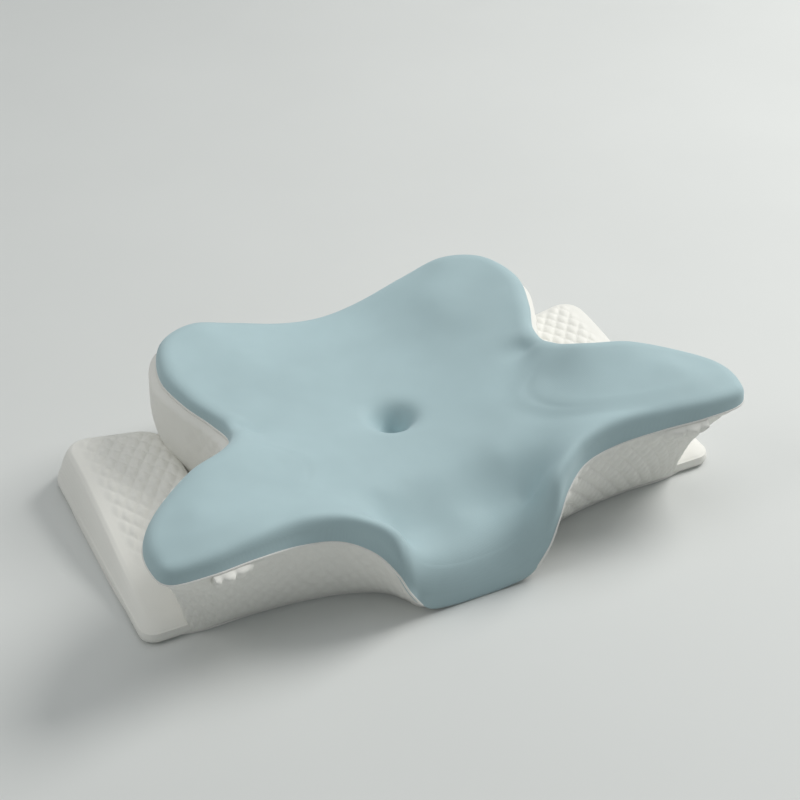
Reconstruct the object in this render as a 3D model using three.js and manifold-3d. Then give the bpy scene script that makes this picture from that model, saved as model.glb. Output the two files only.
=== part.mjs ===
// Contoured memory-foam neck pillow with arm slots: a moulded core in a liner and a sewn, zipped cover.
// Millimetres, +Z up. Origin: bottom centre. X runs across the pillow, +Y to its rear edge.
import * as THREE from 'three';
import Module from 'manifold-3d';
import { mergeVertices } from 'three/addons/utils/BufferGeometryUtils.js';

const wasm = await Module();
wasm.setup();

// ---- driving dimensions -------------------------------------------------------------------------
const HALF_WIDTH = 298; // of the pillow where it rests
const SHELF_FRONT_Y = -112;
const SHELF_REAR_Y = 164;
const SHELF_REAR_H = 50; // arm shelf height at the rear ...
const SHELF_FRONT_H = 17; // ... and at the front lip
const HOLLOW = new THREE.Vector2(0, -5); // centre of the head hollow
const HOLLOW_RIM_Z = 88;
const HOLLOW_DEPTH = 34;
const HOLLOW_SPREAD = 15;
const FABRIC = 2.4; // quilted and knitted cover panels
const LINER = 0.9;
const GAP = 0.3; // between neighbouring pieces
const SLACK = 1.2; // between the layers round the core
const CLEAR_VOLUME = 0.002; // mm3 that two pieces may share before one is cut back
const WALL_BULGE = 3; // side walls belly out this much half way down
const BASE_T = 2.4; // underside panel
const FOOT_Z = BASE_T + GAP; // walls and core stand on the underside panel
const CUT_BELOW = 5; // cutting bodies reach this far below the feet
const PIPING_R = 1.5;
const SEAM_ROOM = PIPING_R + 7 * GAP; // panels stop this far from the seam line
const PIPING_DEPTH = 0.8; // its centre, inside the cover's face
const BINDING_R = 1.1; // cord round the underside panel
const BINDING_INSET = 1.4;
const BASE_INSET = 3.2;
const LABEL = { w: 22, h: 30, t: 0.6, x: 131, y: 181.6, z: 5 }; // blank care label on the rear wall

// Zip across the rear wall. Its chain runs along X; y grows outwards.
const ZIP = {
  half: 112, // half length of the chain
  z: 24, // height of its centre line
  y: 175.1, // middle of the tapes
  tapeW: 10,
  tapeT: 0.8,
  tapeEnd: 4, // tape left over past each end of the chain
  pitch: 10, // one moulded block of teeth
  toothL: 7.4, // along the chain
  toothW: 1.8,
  toothT: 3,
  spineW: 1,
  split: 1.6, // slot between the two rows that the slider's web runs in
};
const CHAIN_HALF_W = ZIP.split / 2 + ZIP.toothW + ZIP.spineW; // centre line to the back of a spine
const STOP = { l: 2.6, topW: 2.4, bottomW: 6, x: ZIP.half + 2 };
const WELD = 0.2; // boxes of one piece run this far into each other
const SLIDER = { l: 12, w: 9.4, plateT: 1.2, webL: 7, webT: 1, lift: 0.4, flangeW: 0.8, flangeH: 0.9 };
const BAIL = { l: 8, w: 2, bar: 1, window: 4.2 };
const PULL = { l: 26, w: 7, t: 1.2, barT: 1.1, eyeL: 7, sideW: 1.4, play: 0.5, hole: 2.2, holeInset: 5 };
const SLIDER_REST_X = -ZIP.half + 9;

// Outline stations of the right half, rear centre to front centre.
// seam: [x, y, z] of the edge of the blue panel; roll: [height, width] of its rounded edge;
// foot: [x, y] of the wall below it; undercut: how far the arm slot is scooped out under a wing.
const STATIONS = [
  { seam: [0, 172, 84], roll: [14, 34], foot: [0, 178], undercut: 0 },
  { seam: [46, 174, 88], roll: [15, 34], foot: [48, 178], undercut: 0 },
  { seam: [92, 174, 103], roll: [15, 32], foot: [96, 178], undercut: 0 },
  { seam: [138, 171, 118], roll: [13, 30], foot: [144, 178], undercut: 0 },
  { seam: [178, 148, 121], roll: [12, 28], foot: [179, 151], undercut: 0 },
  { seam: [194, 102, 120], roll: [11, 26], foot: [189, 104], undercut: 0 },
  { seam: [186, 62, 114], roll: [10, 24], foot: [180, 60], undercut: 0 },
  { seam: [171, 26, 109], roll: [9, 22], foot: [166, 22], undercut: 0 },
  { seam: [168, -10, 114], roll: [9, 22], foot: [165, -16], undercut: 0 },
  { seam: [188, -42, 124], roll: [10, 24], foot: [186, -54], undercut: 0.3 },
  { seam: [226, -62, 127], roll: [11, 26], foot: [214, -84], undercut: 0.6 },
  { seam: [266, -92, 124], roll: [10, 28], foot: [240, -98], undercut: 1 },
  { seam: [289, -122, 121], roll: [11, 30], foot: [252, -106], undercut: 1 },
  { seam: [294, -150, 118], roll: [13, 32], foot: [254, -114], undercut: 0.95 },
  { seam: [284, -169, 112], roll: [18, 32], foot: [248, -118], undercut: 0.8 },
  { seam: [246, -170, 109], roll: [21, 30], foot: [230, -118], undercut: 0.5 },
  { seam: [204, -162, 104], roll: [24, 30], foot: [198, -118], undercut: 0.2 },
  { seam: [160, -154, 96], roll: [26, 30], foot: [156, -121], undercut: 0.1 },
  { seam: [124, -158, 90], roll: [24, 30], foot: [118, -128], undercut: 0 },
  { seam: [98, -172, 78], roll: [23, 28], foot: [90, -138], undercut: 0 },
  { seam: [82, -184, 58], roll: [26, 28], foot: [74, -148], undercut: 0 },
  { seam: [70, -188, 34], roll: [39, 32], foot: [64, -162], undercut: 0 },
  { seam: [54, -187, 15], roll: [44, 40], foot: [54, -178], undercut: 0 },
  { seam: [28, -187, 9], roll: [50, 44], foot: [28, -185], undercut: 0 },
  { seam: [0, -187, 8], roll: [53, 46], foot: [0, -186], undercut: 0 },
];

// Outline of the underside panel, right half, rear centre to front centre.
const BASE_OUTLINE = [
  [0, 178], [96, 178], [150, 177], [188, 167], [230, 164], [272, 160], [292, 142], [297, 100],
  [298, 30], [298, -40], [293, -86], [276, -108], [244, -118], [198, -118], [156, -121],
  [118, -128], [90, -138], [74, -148], [64, -162], [54, -178], [28, -185], [0, -186],
];

const SPAN_STEPS = 2; // curve samples between two stations
const ROLL_ROWS = 2;
const CROWN_ROWS = 5;
const WALL_ROWS = 3;
const ROLL_LEAN = [0, 15, 50, 85]; // degrees from level: crown, crest, rounded edge, seam
const UNDERCUT_LEAN = 20;
const SCOOP_POWER = 2.2; // how soon, going down, an undercut draws the wall in
const HOLLOW_ROWS = [0.6, 1.7]; // radii of the two rows inside the hollow, in spreads
const PANEL_CUTS = { rear: 4, front: 15 }; // stations where the side wall panels are joined
// The rear wall is open over the chain; the liner and core leave a deeper room behind it.
const ZIP_WINDOW = { halfX: ZIP.half + 6, halfZ: CHAIN_HALF_W + GAP + ZIP.tapeW - 4, reach: 60 };
const ZIP_ROOM = { halfZ: ZIP_WINDOW.halfZ + 4.5, depth: 4.2 };

// ---- colours ------------------------------------------------------------------------------------
const finish = (color, roughness, metalness = 0) =>
  new THREE.MeshStandardMaterial({ color, roughness, metalness });
const BLUE_KNIT = finish(0x9fb9c0, 0.85);
const WHITE_QUILT = finish(0xe4e3dd, 0.88);
const FOAM = finish(0xf1ead6, 0.95);
const LINER_KNIT = finish(0xf4f4f2, 0.9);
const UNDERSIDE_MESH = finish(0xd8d8d4, 0.92);
const WHITE_CORD = finish(0xeceae4, 0.8);
const ZIP_TAPE = finish(0xe6e5e0, 0.85);
const ZIP_RESIN = finish(0xdfe0dd, 0.45);
const ZIP_METAL = finish(0xb9bcbd, 0.35, 0.9);
const LABEL_SATIN = finish(0xf6f6f3, 0.6);

// ---- curves -------------------------------------------------------------------------------------
/** Mirrors rows of a right half outline into a full loop; `flip` lists the columns that change sign. */
function mirrored(half, flip) {
  const inner = half.slice(1, -1).reverse();
  return half.concat(inner.map((row) => row.map((v, i) => (flip.includes(i) ? -v : v))));
}

/** Samples a closed Catmull-Rom curve through rows of any width. */
function smoothLoop(rows, steps) {
  const n = rows.length;
  const out = [];
  for (let i = 0; i < n; i++) {
    const [a, b, c, d] = [-1, 0, 1, 2].map((k) => rows[(i + k + n) % n]);
    for (let j = 0; j < steps; j++) {
      const t = j / steps;
      out.push(b.map((_, k) => 0.5 * (2 * b[k] + (c[k] - a[k]) * t
        + (2 * a[k] - 5 * b[k] + 4 * c[k] - d[k]) * t * t
        + (3 * b[k] - a[k] - 3 * c[k] + d[k]) * t * t * t)));
    }
  }
  return out;
}

const stationRow = (s) => [...s.seam, ...s.roll, ...s.foot, s.undercut];
const AROUND = smoothLoop(mirrored(STATIONS.map(stationRow), [0, 5]), SPAN_STEPS)
  .map(([x, y, z, rollH, rollW, footX, footY, undercut]) => (
    { seam: new THREE.Vector3(x, y, z), rollH, rollW, foot: new THREE.Vector2(footX, footY), undercut }));
const BASE_LOOP = smoothLoop(mirrored(BASE_OUTLINE, [0]), SPAN_STEPS);

// ---- reference surface: rows from the hollow out to the seam, then down the wall to the foot -------
/** Height of the top surface at a distance in from the seam. */
function crownHeight(station, inset, radius) {
  const crest = station.seam.z + station.rollH;
  let z;
  if (inset < station.rollW) {
    const u = 1 - inset / station.rollW;
    z = crest - station.rollH * (1 - Math.sqrt(1 - u * u));
  } else {
    const q = (inset - station.rollW) / (radius - station.rollW);
    z = THREE.MathUtils.lerp(crest, HOLLOW_RIM_Z, q * q * (3 - 2 * q));
  }
  return z - HOLLOW_DEPTH * Math.exp(-(((radius - inset) / HOLLOW_SPREAD) ** 2));
}

/** Distances in from the seam of the top surface's rows, seam first. */
function crownInsets(station, radius) {
  const roll = Array.from({ length: ROLL_ROWS }, (_, k) =>
    station.rollW * (1 - Math.cos((Math.PI / 2) * (k / ROLL_ROWS))));
  const hollowEdge = radius - HOLLOW_ROWS[1] * HOLLOW_SPREAD;
  const crown = Array.from({ length: CROWN_ROWS - 1 }, (_, k) =>
    THREE.MathUtils.lerp(station.rollW, hollowEdge, k / (CROWN_ROWS - 2)));
  return [...roll, ...crown, radius - HOLLOW_ROWS[0] * HOLLOW_SPREAD];
}

function crownColumn(station) {
  const seam = new THREE.Vector2(station.seam.x, station.seam.y);
  const radius = seam.distanceTo(HOLLOW);
  return crownInsets(station, radius).map((inset) => {
    const p = seam.clone().lerp(HOLLOW, inset / radius);
    return new THREE.Vector3(p.x, p.y, crownHeight(station, inset, radius));
  });
}

function wallColumn(station) {
  const seam = new THREE.Vector2(station.seam.x, station.seam.y);
  const outward = seam.clone().sub(HOLLOW).normalize();
  const belly = Math.min(WALL_BULGE, station.seam.z / 20);
  return Array.from({ length: WALL_ROWS }, (_, k) => {
    const t = (k + 1) / WALL_ROWS;
    const scoop = 1 - (1 - t) ** SCOOP_POWER;
    const p = seam.clone().lerp(station.foot, THREE.MathUtils.lerp(t, scoop, station.undercut));
    p.addScaledVector(outward, belly * Math.sin(Math.PI * t));
    return new THREE.Vector3(p.x, p.y, THREE.MathUtils.lerp(station.seam.z, FOOT_Z, t));
  });
}

const POLE = new THREE.Vector3(HOLLOW.x, HOLLOW.y, HOLLOW_RIM_Z - HOLLOW_DEPTH);
const COLUMNS = AROUND.map((s) => [...crownColumn(s).reverse(), ...wallColumn(s)]);
const SEAM_ROW = ROLL_ROWS + CROWN_ROWS - 1;
const LAST_ROW = COLUMNS[0].length - 1;
const COUNT = COLUMNS.length;

/** How far the surface leans from level at a row, in degrees: crown, rounded edge, wall. */
function lean(j, undercut) {
  if (j <= SEAM_ROW) return ROLL_LEAN[Math.max(0, j - SEAM_ROW + ROLL_ROWS + 1)];
  return j === LAST_ROW ? 90 : 90 + UNDERCUT_LEAN * undercut;
}

/** Outward directions of the reference surface, one per sample. */
const NORMALS = COLUMNS.map((column, i) => column.map((p, j) => {
  const next = COLUMNS[(i + 1) % COUNT][j];
  const prev = COLUMNS[(i - 1 + COUNT) % COUNT][j];
  const level = new THREE.Vector3(next.y - prev.y, prev.x - next.x, 0).normalize().negate();
  const angle = THREE.MathUtils.degToRad(lean(j, AROUND[i].undercut));
  return level.multiplyScalar(Math.sin(angle)).setZ(Math.cos(angle));
}));

/** The reference surface moved in along its normals. */
function skin(depth) {
  const columns = COLUMNS.map((column, i) => column.map((p, j) =>
    p.clone().addScaledVector(NORMALS[i][j], -depth)));
  return { pole: POLE.clone().setZ(POLE.z - depth), columns };
}

// ---- meshes -------------------------------------------------------------------------------------
/** Collects triangles between points and gives an indexed geometry with merged corners. */
class Facets {
  constructor() {
    this.points = [];
  }
  tri(a, b, c) {
    this.points.push(a, b, c);
  }
  quad(a, b, c, d) {
    this.tri(a, b, c);
    this.tri(a, c, d);
  }
  /** Joins two closed rings of equal length, lower one first, seen from outside anticlockwise. */
  band(low, high) {
    low.forEach((p, i) => {
      const k = (i + 1) % low.length;
      this.quad(p, low[k], high[k], high[i]);
    });
  }
  fan(ring, centre) {
    ring.forEach((p, i) => this.tri(p, ring[(i + 1) % ring.length], centre));
  }
  geometry() {
    return mergeVertices(new THREE.BufferGeometry().setFromPoints(this.points), 1e-4);
  }
}

/** A solid whose facets are turned to face out. */
function solid(geometry) {
  const g = geometry.clone();
  ['normal', 'uv'].forEach((name) => g.deleteAttribute(name));
  const merged = mergeVertices(g, 1e-4);
  const tris = Uint32Array.from(merged.index.array);
  const verts = Float32Array.from(merged.attributes.position.array);
  if (signedVolume(verts, tris) < 0) {
    for (let i = 0; i < tris.length; i += 3) [tris[i + 1], tris[i + 2]] = [tris[i + 2], tris[i + 1]];
  }
  return new wasm.Manifold(new wasm.Mesh({ numProp: 3, vertProperties: verts, triVerts: tris }));
}

function signedVolume(v, t) {
  const at = (i) => new THREE.Vector3(v[3 * i], v[3 * i + 1], v[3 * i + 2]);
  let sum = 0;
  for (let i = 0; i < t.length; i += 3) sum += at(t[i]).dot(at(t[i + 1]).cross(at(t[i + 2])));
  return sum;
}

function geometryOf(manifold) {
  const mesh = manifold.getMesh();
  const g = new THREE.BufferGeometry();
  const xyz = new Float32Array(mesh.numVert * 3);
  for (let i = 0; i < mesh.numVert; i++) {
    xyz.set(mesh.vertProperties.subarray(i * mesh.numProp, i * mesh.numProp + 3), 3 * i);
  }
  g.setAttribute('position', new THREE.BufferAttribute(xyz, 3));
  g.setIndex(new THREE.BufferAttribute(Uint32Array.from(mesh.triVerts), 1));
  return g;
}

/** The largest of the separate lumps that a cut leaves. */
function mainLump(manifold) {
  const lumps = manifold.decompose();
  return lumps.reduce((a, b) => (a.volume() > b.volume() ? a : b));
}

/** Cuts a piece back from a neighbour that it would run in to, with a little room on every side. */
function clearOf(piece, neighbour, room = GAP / 2) {
  if (piece.intersect(neighbour).volume() < CLEAR_VOLUME) return piece;
  const shifts = [[0, 0, 0], [1, 0, 0], [-1, 0, 0], [0, 1, 0], [0, -1, 0], [0, 0, 1], [0, 0, -1]];
  return shifts.reduce((left, shift) =>
    left.subtract(neighbour.translate(shift.map((v) => v * room))), piece);
}

const pillow = new THREE.Group();
function add(name, geometry, material) {
  geometry.computeVertexNormals();
  const mesh = new THREE.Mesh(geometry, material);
  mesh.name = name;
  pillow.add(mesh);
  return mesh;
}

const box = (w, d, h, x, y, z) => new THREE.BoxGeometry(w, d, h).translate(x, y, z);
const row = (surface, j) => surface.columns.map((c) => c[j]);

// ---- body shapes --------------------------------------------------------------------------------
/** Everything above the foot, without the arm shelves, `depth` inside the cover's outer face. */
function upperBody(depth, floor) {
  const s = skin(depth);
  const f = new Facets();
  const foot = row(s, LAST_ROW).map((p) => p.setZ(Math.max(p.z, floor)));
  const sole = foot.map((p) => p.clone().setZ(floor));
  f.fan(row(s, 0), s.pole);
  for (let j = 0; j < LAST_ROW; j++) f.band(row(s, j + 1), row(s, j));
  if (floor < FOOT_Z) f.band(sole, foot);
  f.fan([...sole].reverse(), new THREE.Vector3(HOLLOW.x, HOLLOW.y, floor));
  return solid(f.geometry());
}

/** A ring of a rounded rectangle. */
function roundedRing({ x0, x1, y0, y1, r }, perCorner = 4) {
  const corners = [[x1 - r, y1 - r, 0], [x0 + r, y1 - r, 90], [x0 + r, y0 + r, 180], [x1 - r, y0 + r, 270]];
  return corners.flatMap(([cx, cy, from]) => Array.from({ length: perCorner }, (_, k) => {
    const a = THREE.MathUtils.degToRad(from + (90 * k) / (perCorner - 1));
    return new THREE.Vector2(cx + r * Math.cos(a), cy + r * Math.sin(a));
  }));
}

/** Height of an arm shelf: level at the rear, then falling to the front lip. */
const shelfHeight = (y) => THREE.MathUtils.lerp(SHELF_FRONT_H, SHELF_REAR_H,
  THREE.MathUtils.smoothstep(y, SHELF_FRONT_Y, 120));

// Rings up an arm shelf: how far each edge is drawn in, the corner radius, the height, and the share
// of the slant that draws the rear face in towards the body.
// Below the step the shelf runs in to the body; above it stands a lip with a valley beside the body.
const SHELF_STEP_Z = 12;
const SHELF_INNER_X = 186;
const RING_STEP = 0.5;
const REAR_SLANT = 0.26; // rear face drawn in at the top, per mm in from the outer side
const SLANT_FROM = [30, 146]; // y over which the slant grows
const SHELF_RINGS = [
  { inner: 150, outer: 1, ends: 1, r: 30, z: () => FOOT_Z, slant: 0 },
  { inner: 150, outer: 0, ends: 0, r: 30, z: () => SHELF_STEP_Z - 3, slant: 0 },
  { inner: 152, outer: 1, ends: 1, r: 30, z: () => SHELF_STEP_Z, slant: 0 },
  { inner: SHELF_INNER_X - 1, outer: 2, ends: 2, r: 31, z: (h) => SHELF_STEP_Z + 0.05 * h, slant: 0.1 },
  { inner: SHELF_INNER_X + 1, outer: 6, ends: 6, r: 30, z: (h) => Math.max(14, 0.62 * h), slant: 0.6 },
  { inner: SHELF_INNER_X + 4, outer: 11, ends: 12, r: 27, z: (h) => 0.9 * h, slant: 0.9 },
  { inner: SHELF_INNER_X + 13, outer: 20, ends: 22, r: 20, z: (h) => h, slant: 1 },
];

function shelfBody(side, depth, floor) {
  const f = new Facets();
  const rings = SHELF_RINGS.map(({ inner, outer, ends, r, z, slant }, k) => {
    const flat = roundedRing({
      x0: inner + (z(SHELF_STEP_Z) > SHELF_STEP_Z ? depth : 0), x1: HALF_WIDTH - outer - depth,
      y0: SHELF_FRONT_Y + ends + depth, y1: SHELF_REAR_Y - ends - depth, r: r - depth,
    });
    const height = (y) => (k === 0 ? floor : Math.max(z(shelfHeight(y)) - depth, floor + RING_STEP * k));
    const drawnIn = (p) => slant * REAR_SLANT * (HALF_WIDTH - p.x)
      * THREE.MathUtils.smoothstep(p.y, ...SLANT_FROM);
    return flat.map((p) => new THREE.Vector3(p.x, p.y - drawnIn(p), height(p.y - drawnIn(p))));
  });
  for (let k = 0; k + 1 < rings.length; k++) f.band(rings[k], rings[k + 1]);
  const top = rings[rings.length - 1];
  const middle = top.reduce((sum, p) => sum.add(p), new THREE.Vector3()).divideScalar(top.length);
  f.fan(top, middle.setZ(middle.z + 1));
  const sole = rings[0];
  const under = sole.reduce((sum, p) => sum.add(p), new THREE.Vector3()).divideScalar(sole.length);
  f.fan([...sole].reverse(), under);
  const g = f.geometry();
  if (side < 0) g.scale(-1, 1, 1);
  return solid(g);
}

function wholeBody(depth, floor) {
  return upperBody(depth, floor).add(shelfBody(1, depth, floor)).add(shelfBody(-1, depth, floor));
}

/** A round cord along a closed clockwise loop of points. */
function cordLoop(points, radius, sides = 5) {
  const f = new Facets();
  const rings = points.map((p, i) => {
    const out = outwardAt(points, i);
    return Array.from({ length: sides }, (_, k) => {
      const a = (2 * Math.PI * k) / sides;
      return new THREE.Vector3(p.x + radius * Math.cos(a) * out.x, p.y + radius * Math.cos(a) * out.y,
        p.z + radius * Math.sin(a));
    });
  });
  rings.forEach((ring, i) => f.band(ring, rings[(i + 1) % rings.length]));
  return f.geometry();
}

/** The level outward direction at a point of a clockwise loop. */
function outwardAt(points, i) {
  const next = points[(i + 1) % points.length];
  const prev = points[(i - 1 + points.length) % points.length];
  return new THREE.Vector2(prev.y - next.y, next.x - prev.x).normalize();
}

// ---- core and liner -----------------------------------------------------------------------------
const linerDepth = FABRIC + SLACK;
const coreDepth = linerDepth + LINER + SLACK;
const linerFloor = FOOT_Z;
const coreFloor = linerFloor + LINER + GAP;

function coreAndLiner(cover) {
  const bare = wholeBody(coreDepth, coreFloor);
  const core = cover.reduce((left, panel) => clearOf(left, panel), bare);
  add('foam_core', geometryOf(mainLump(core)), FOAM);
  const inside = wholeBody(linerDepth + LINER, coreFloor - GAP);
  const sleeve = wholeBody(linerDepth, linerFloor).subtract(inside);
  const liner = [...cover, core].reduce((left, other) => clearOf(left, other), sleeve);
  add('inner_liner', geometryOf(mainLump(liner)), LINER_KNIT);
}

// ---- cover panels -------------------------------------------------------------------------------
const OUTER = skin(0);
const INNER = skin(FABRIC);
const seamPoints = row(skin(PIPING_DEPTH), SEAM_ROW);

/** A point of a skin, on the loop sample i and row j, moved along the skin towards row k. */
function near(surface, i, j, k, distance) {
  const column = surface.columns[(i + COUNT) % COUNT];
  const step = column[k].clone().sub(column[j]);
  return column[j].clone().addScaledVector(step.normalize(), distance);
}

/** A row of a skin; the seam row is held back to leave room for the piping. */
function panelRow(surface, j, towards) {
  return surface.columns.map((column, i) => (
    j === SEAM_ROW ? near(surface, i, j, j + towards, SEAM_ROOM) : column[j]));
}

function topPanel() {
  const f = new Facets();
  f.fan(row(OUTER, 0), OUTER.pole);
  for (let j = 0; j < SEAM_ROW; j++) {
    f.band(panelRow(OUTER, j + 1, -1), panelRow(OUTER, j, -1));
    f.band(panelRow(INNER, j, -1), panelRow(INNER, j + 1, -1));
  }
  f.fan([...row(INNER, 0)].reverse(), INNER.pole);
  f.band(panelRow(INNER, SEAM_ROW, -1), panelRow(OUTER, SEAM_ROW, -1));
  const panel = solid(f.geometry());
  add('top_panel', geometryOf(panel), BLUE_KNIT);
  return panel;
}

/** A wall panel between two samples of the loop, drawn back a little at both ends. */
function wallPanel(from, to) {
  const f = new Facets();
  const [outer, inner] = [OUTER, INNER].map((surface) => {
    const rows = [];
    for (let j = SEAM_ROW; j <= LAST_ROW; j++) rows.push(panelRow(surface, j, 1));
    return rows.map((points) => {
      const strip = [];
      for (let i = from; i <= to; i++) strip.push(points[(i + COUNT) % COUNT].clone());
      pullIn(strip, 0, 1);
      pullIn(strip, strip.length - 1, strip.length - 2);
      return strip;
    });
  });
  const last = outer.length - 1;
  const end = to - from;
  for (let i = 0; i < end; i++) {
    for (let j = 0; j < last; j++) {
      f.quad(outer[j + 1][i], outer[j + 1][i + 1], outer[j][i + 1], outer[j][i]);
      f.quad(inner[j][i], inner[j][i + 1], inner[j + 1][i + 1], inner[j + 1][i]);
    }
    f.quad(outer[0][i], outer[0][i + 1], inner[0][i + 1], inner[0][i]);
    f.quad(inner[last][i], inner[last][i + 1], outer[last][i + 1], outer[last][i]);
  }
  for (let j = 0; j < last; j++) {
    f.quad(outer[j + 1][0], outer[j][0], inner[j][0], inner[j + 1][0]);
    f.quad(outer[j][end], outer[j + 1][end], inner[j + 1][end], inner[j][end]);
  }
  return solid(f.geometry());
}

/** Moves a strip's end point towards its neighbour by half a gap. */
function pullIn(strip, at, towards) {
  const step = strip[towards].clone().sub(strip[at]).normalize();
  strip[at].addScaledVector(step, GAP / 2);
}

/** A sheet with a closed outline, from z0 up. */
function slab(outline, z0, thickness) {
  const shape = new THREE.Shape(outline);
  return new THREE.ExtrudeGeometry(shape, { depth: thickness, bevelEnabled: false }).translate(0, 0, z0);
}

/** A clockwise outline drawn in by a distance. */
function insetLoop(points, distance) {
  return points.map((p, i) => p.clone().addScaledVector(outwardAt(points, i), -distance));
}

function wallPanels(shelfRooms) {
  const rear = PANEL_CUTS.rear * SPAN_STEPS;
  const front = PANEL_CUTS.front * SPAN_STEPS;
  const middle = COUNT / 2;
  const window = solid(box(2 * ZIP_WINDOW.halfX, ZIP_WINDOW.reach, 2 * ZIP_WINDOW.halfZ, 0, ZIP.y, ZIP.z));
  const pieces = {
    rear_wall: wallPanel(-rear, rear).subtract(window),
    side_wall_right: wallPanel(rear, front),
    front_wall_right: wallPanel(front, middle),
    front_wall_left: wallPanel(middle, COUNT - front),
    side_wall_left: wallPanel(COUNT - front, COUNT - rear),
  };
  return Object.entries(pieces).map(([name, piece]) => {
    const panel = mainLump(shelfRooms.reduce((left, room) => left.subtract(room), piece));
    add(name, geometryOf(panel), WHITE_QUILT);
    return panel;
  });
}

function shelfCovers(bodyRoom) {
  const names = { 1: 'shelf_cover_right', '-1': 'shelf_cover_left' };
  return [1, -1].map((side) => {
    const shell = shelfBody(side, 0, FOOT_Z).subtract(shelfBody(side, FABRIC, FOOT_Z - CUT_BELOW));
    const panel = mainLump(shell.subtract(bodyRoom));
    add(names[side], geometryOf(panel), WHITE_QUILT);
    return panel;
  });
}

function underside() {
  const loop = BASE_LOOP.map(([x, y]) => new THREE.Vector2(x, y));
  add('base_panel', slab(insetLoop(loop, BASE_INSET), 0, BASE_T), UNDERSIDE_MESH);
  const cord = insetLoop(loop, BINDING_INSET).map((p) => new THREE.Vector3(p.x, p.y, BASE_T / 2));
  add('base_seam_binding', geometryOf(solid(cordLoop(cord, BINDING_R))), WHITE_CORD);
}

// ---- zip ----------------------------------------------------------------------------------------
const joined = (parts) => parts.map(solid).reduce((a, b) => a.add(b));

function zipTape(side) {
  const middle = CHAIN_HALF_W + GAP + ZIP.tapeW / 2;
  return box(2 * (ZIP.half + ZIP.tapeEnd), ZIP.tapeT, ZIP.tapeW, 0, ZIP.y, ZIP.z + side * middle);
}

/** One row of moulded teeth on its spine; the two rows are half a pitch apart. */
function zipTeeth(side) {
  const root = ZIP.split / 2 + ZIP.toothW;
  const spine = box(2 * ZIP.half, ZIP.toothT - 4 * WELD, ZIP.spineW + WELD, 0, ZIP.y,
    ZIP.z + side * (root + (ZIP.spineW - WELD) / 2));
  const count = Math.floor((2 * ZIP.half) / ZIP.pitch) - 1;
  const shift = side > 0 ? 0 : ZIP.pitch / 2;
  const teeth = Array.from({ length: count }, (_, k) => box(ZIP.toothL, ZIP.toothT, ZIP.toothW,
    -ZIP.half + ZIP.pitch * (k + 0.5) + shift, ZIP.y, ZIP.z + side * (root - ZIP.toothW / 2)));
  return joined([spine, ...teeth]);
}

/** Two plates joined by a web that runs between the tooth rows, with a bail for the pull. */
function zipSlider() {
  const face = ZIP.toothT / 2 + SLIDER.lift;
  const plateY = face + SLIDER.plateT / 2;
  const top = face + SLIDER.plateT;
  const flangeZ = SLIDER.w / 2 - SLIDER.flangeW / 2;
  const bailY = top + BAIL.window;
  const parts = [
    box(SLIDER.l, SLIDER.plateT, SLIDER.w, 0, plateY, 0),
    box(SLIDER.l, SLIDER.plateT, SLIDER.w, 0, -plateY, 0),
    box(SLIDER.webL, 2 * (face + WELD), SLIDER.webT, 0, 0, 0),
    ...[1, -1].map((edge) => box(SLIDER.l, SLIDER.flangeH, SLIDER.flangeW,
      0, face + (WELD - SLIDER.flangeH) / 2, edge * flangeZ)),
    box(BAIL.l, BAIL.bar, BAIL.w, 0, bailY + BAIL.bar / 2, 0),
    ...[1, -1].map((end) => box(BAIL.bar, BAIL.window + 2 * WELD, BAIL.w,
      end * (BAIL.l - BAIL.bar) / 2, top + BAIL.window / 2, 0)),
  ];
  return joined(parts).translate([SLIDER_REST_X, ZIP.y, ZIP.z]);
}

const PULL_AXIS_Y = ZIP.y + ZIP.toothT / 2 + SLIDER.lift + SLIDER.plateT + BAIL.window / 2;

/** A flat tab whose eye goes round the bail, lying along the chain. */
function zipPull() {
  const eyeW = BAIL.w + 2 * (PULL.sideW + PULL.play);
  const plateL = PULL.l - PULL.eyeL;
  const parts = [
    box(PULL.barT, PULL.t, eyeW, 0, 0, 0),
    ...[1, -1].map((side) => box(PULL.eyeL, PULL.t, PULL.sideW,
      PULL.eyeL / 2 - PULL.barT / 2, 0, side * (eyeW - PULL.sideW) / 2)),
    box(plateL, PULL.t, PULL.w, PULL.l - plateL / 2 - PULL.barT, 0, 0),
  ];
  const hole = new THREE.CylinderGeometry(PULL.hole, PULL.hole, 2 * PULL.t, 12)
    .translate(PULL.l - PULL.holeInset, 0, 0);
  return joined(parts).subtract(solid(hole)).translate([SLIDER_REST_X, PULL_AXIS_Y, ZIP.z]);
}

function zip() {
  const names = { 1: 'upper', '-1': 'lower' };
  [1, -1].forEach((side) => {
    add(`zip_tape_${names[side]}`, zipTape(side), ZIP_TAPE);
    add(`zip_teeth_${names[side]}`, geometryOf(zipTeeth(side)), ZIP_RESIN);
    add(`zip_top_stop_${names[side]}`,
      box(STOP.l, ZIP.toothT, STOP.topW, -STOP.x, ZIP.y, ZIP.z + side * (ZIP.split + STOP.topW) / 2),
      ZIP_METAL);
  });
  add('zip_bottom_stop', box(STOP.l, ZIP.toothT, STOP.bottomW, STOP.x, ZIP.y, ZIP.z), ZIP_METAL);
  add('zip_slider', geometryOf(zipSlider()), ZIP_METAL);
  add('zip_pull', geometryOf(zipPull()), ZIP_METAL);
}

function careLabel() {
  add('care_label', box(LABEL.w, LABEL.t, LABEL.h, LABEL.x, LABEL.y, LABEL.z + LABEL.h / 2), LABEL_SATIN);
}

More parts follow.
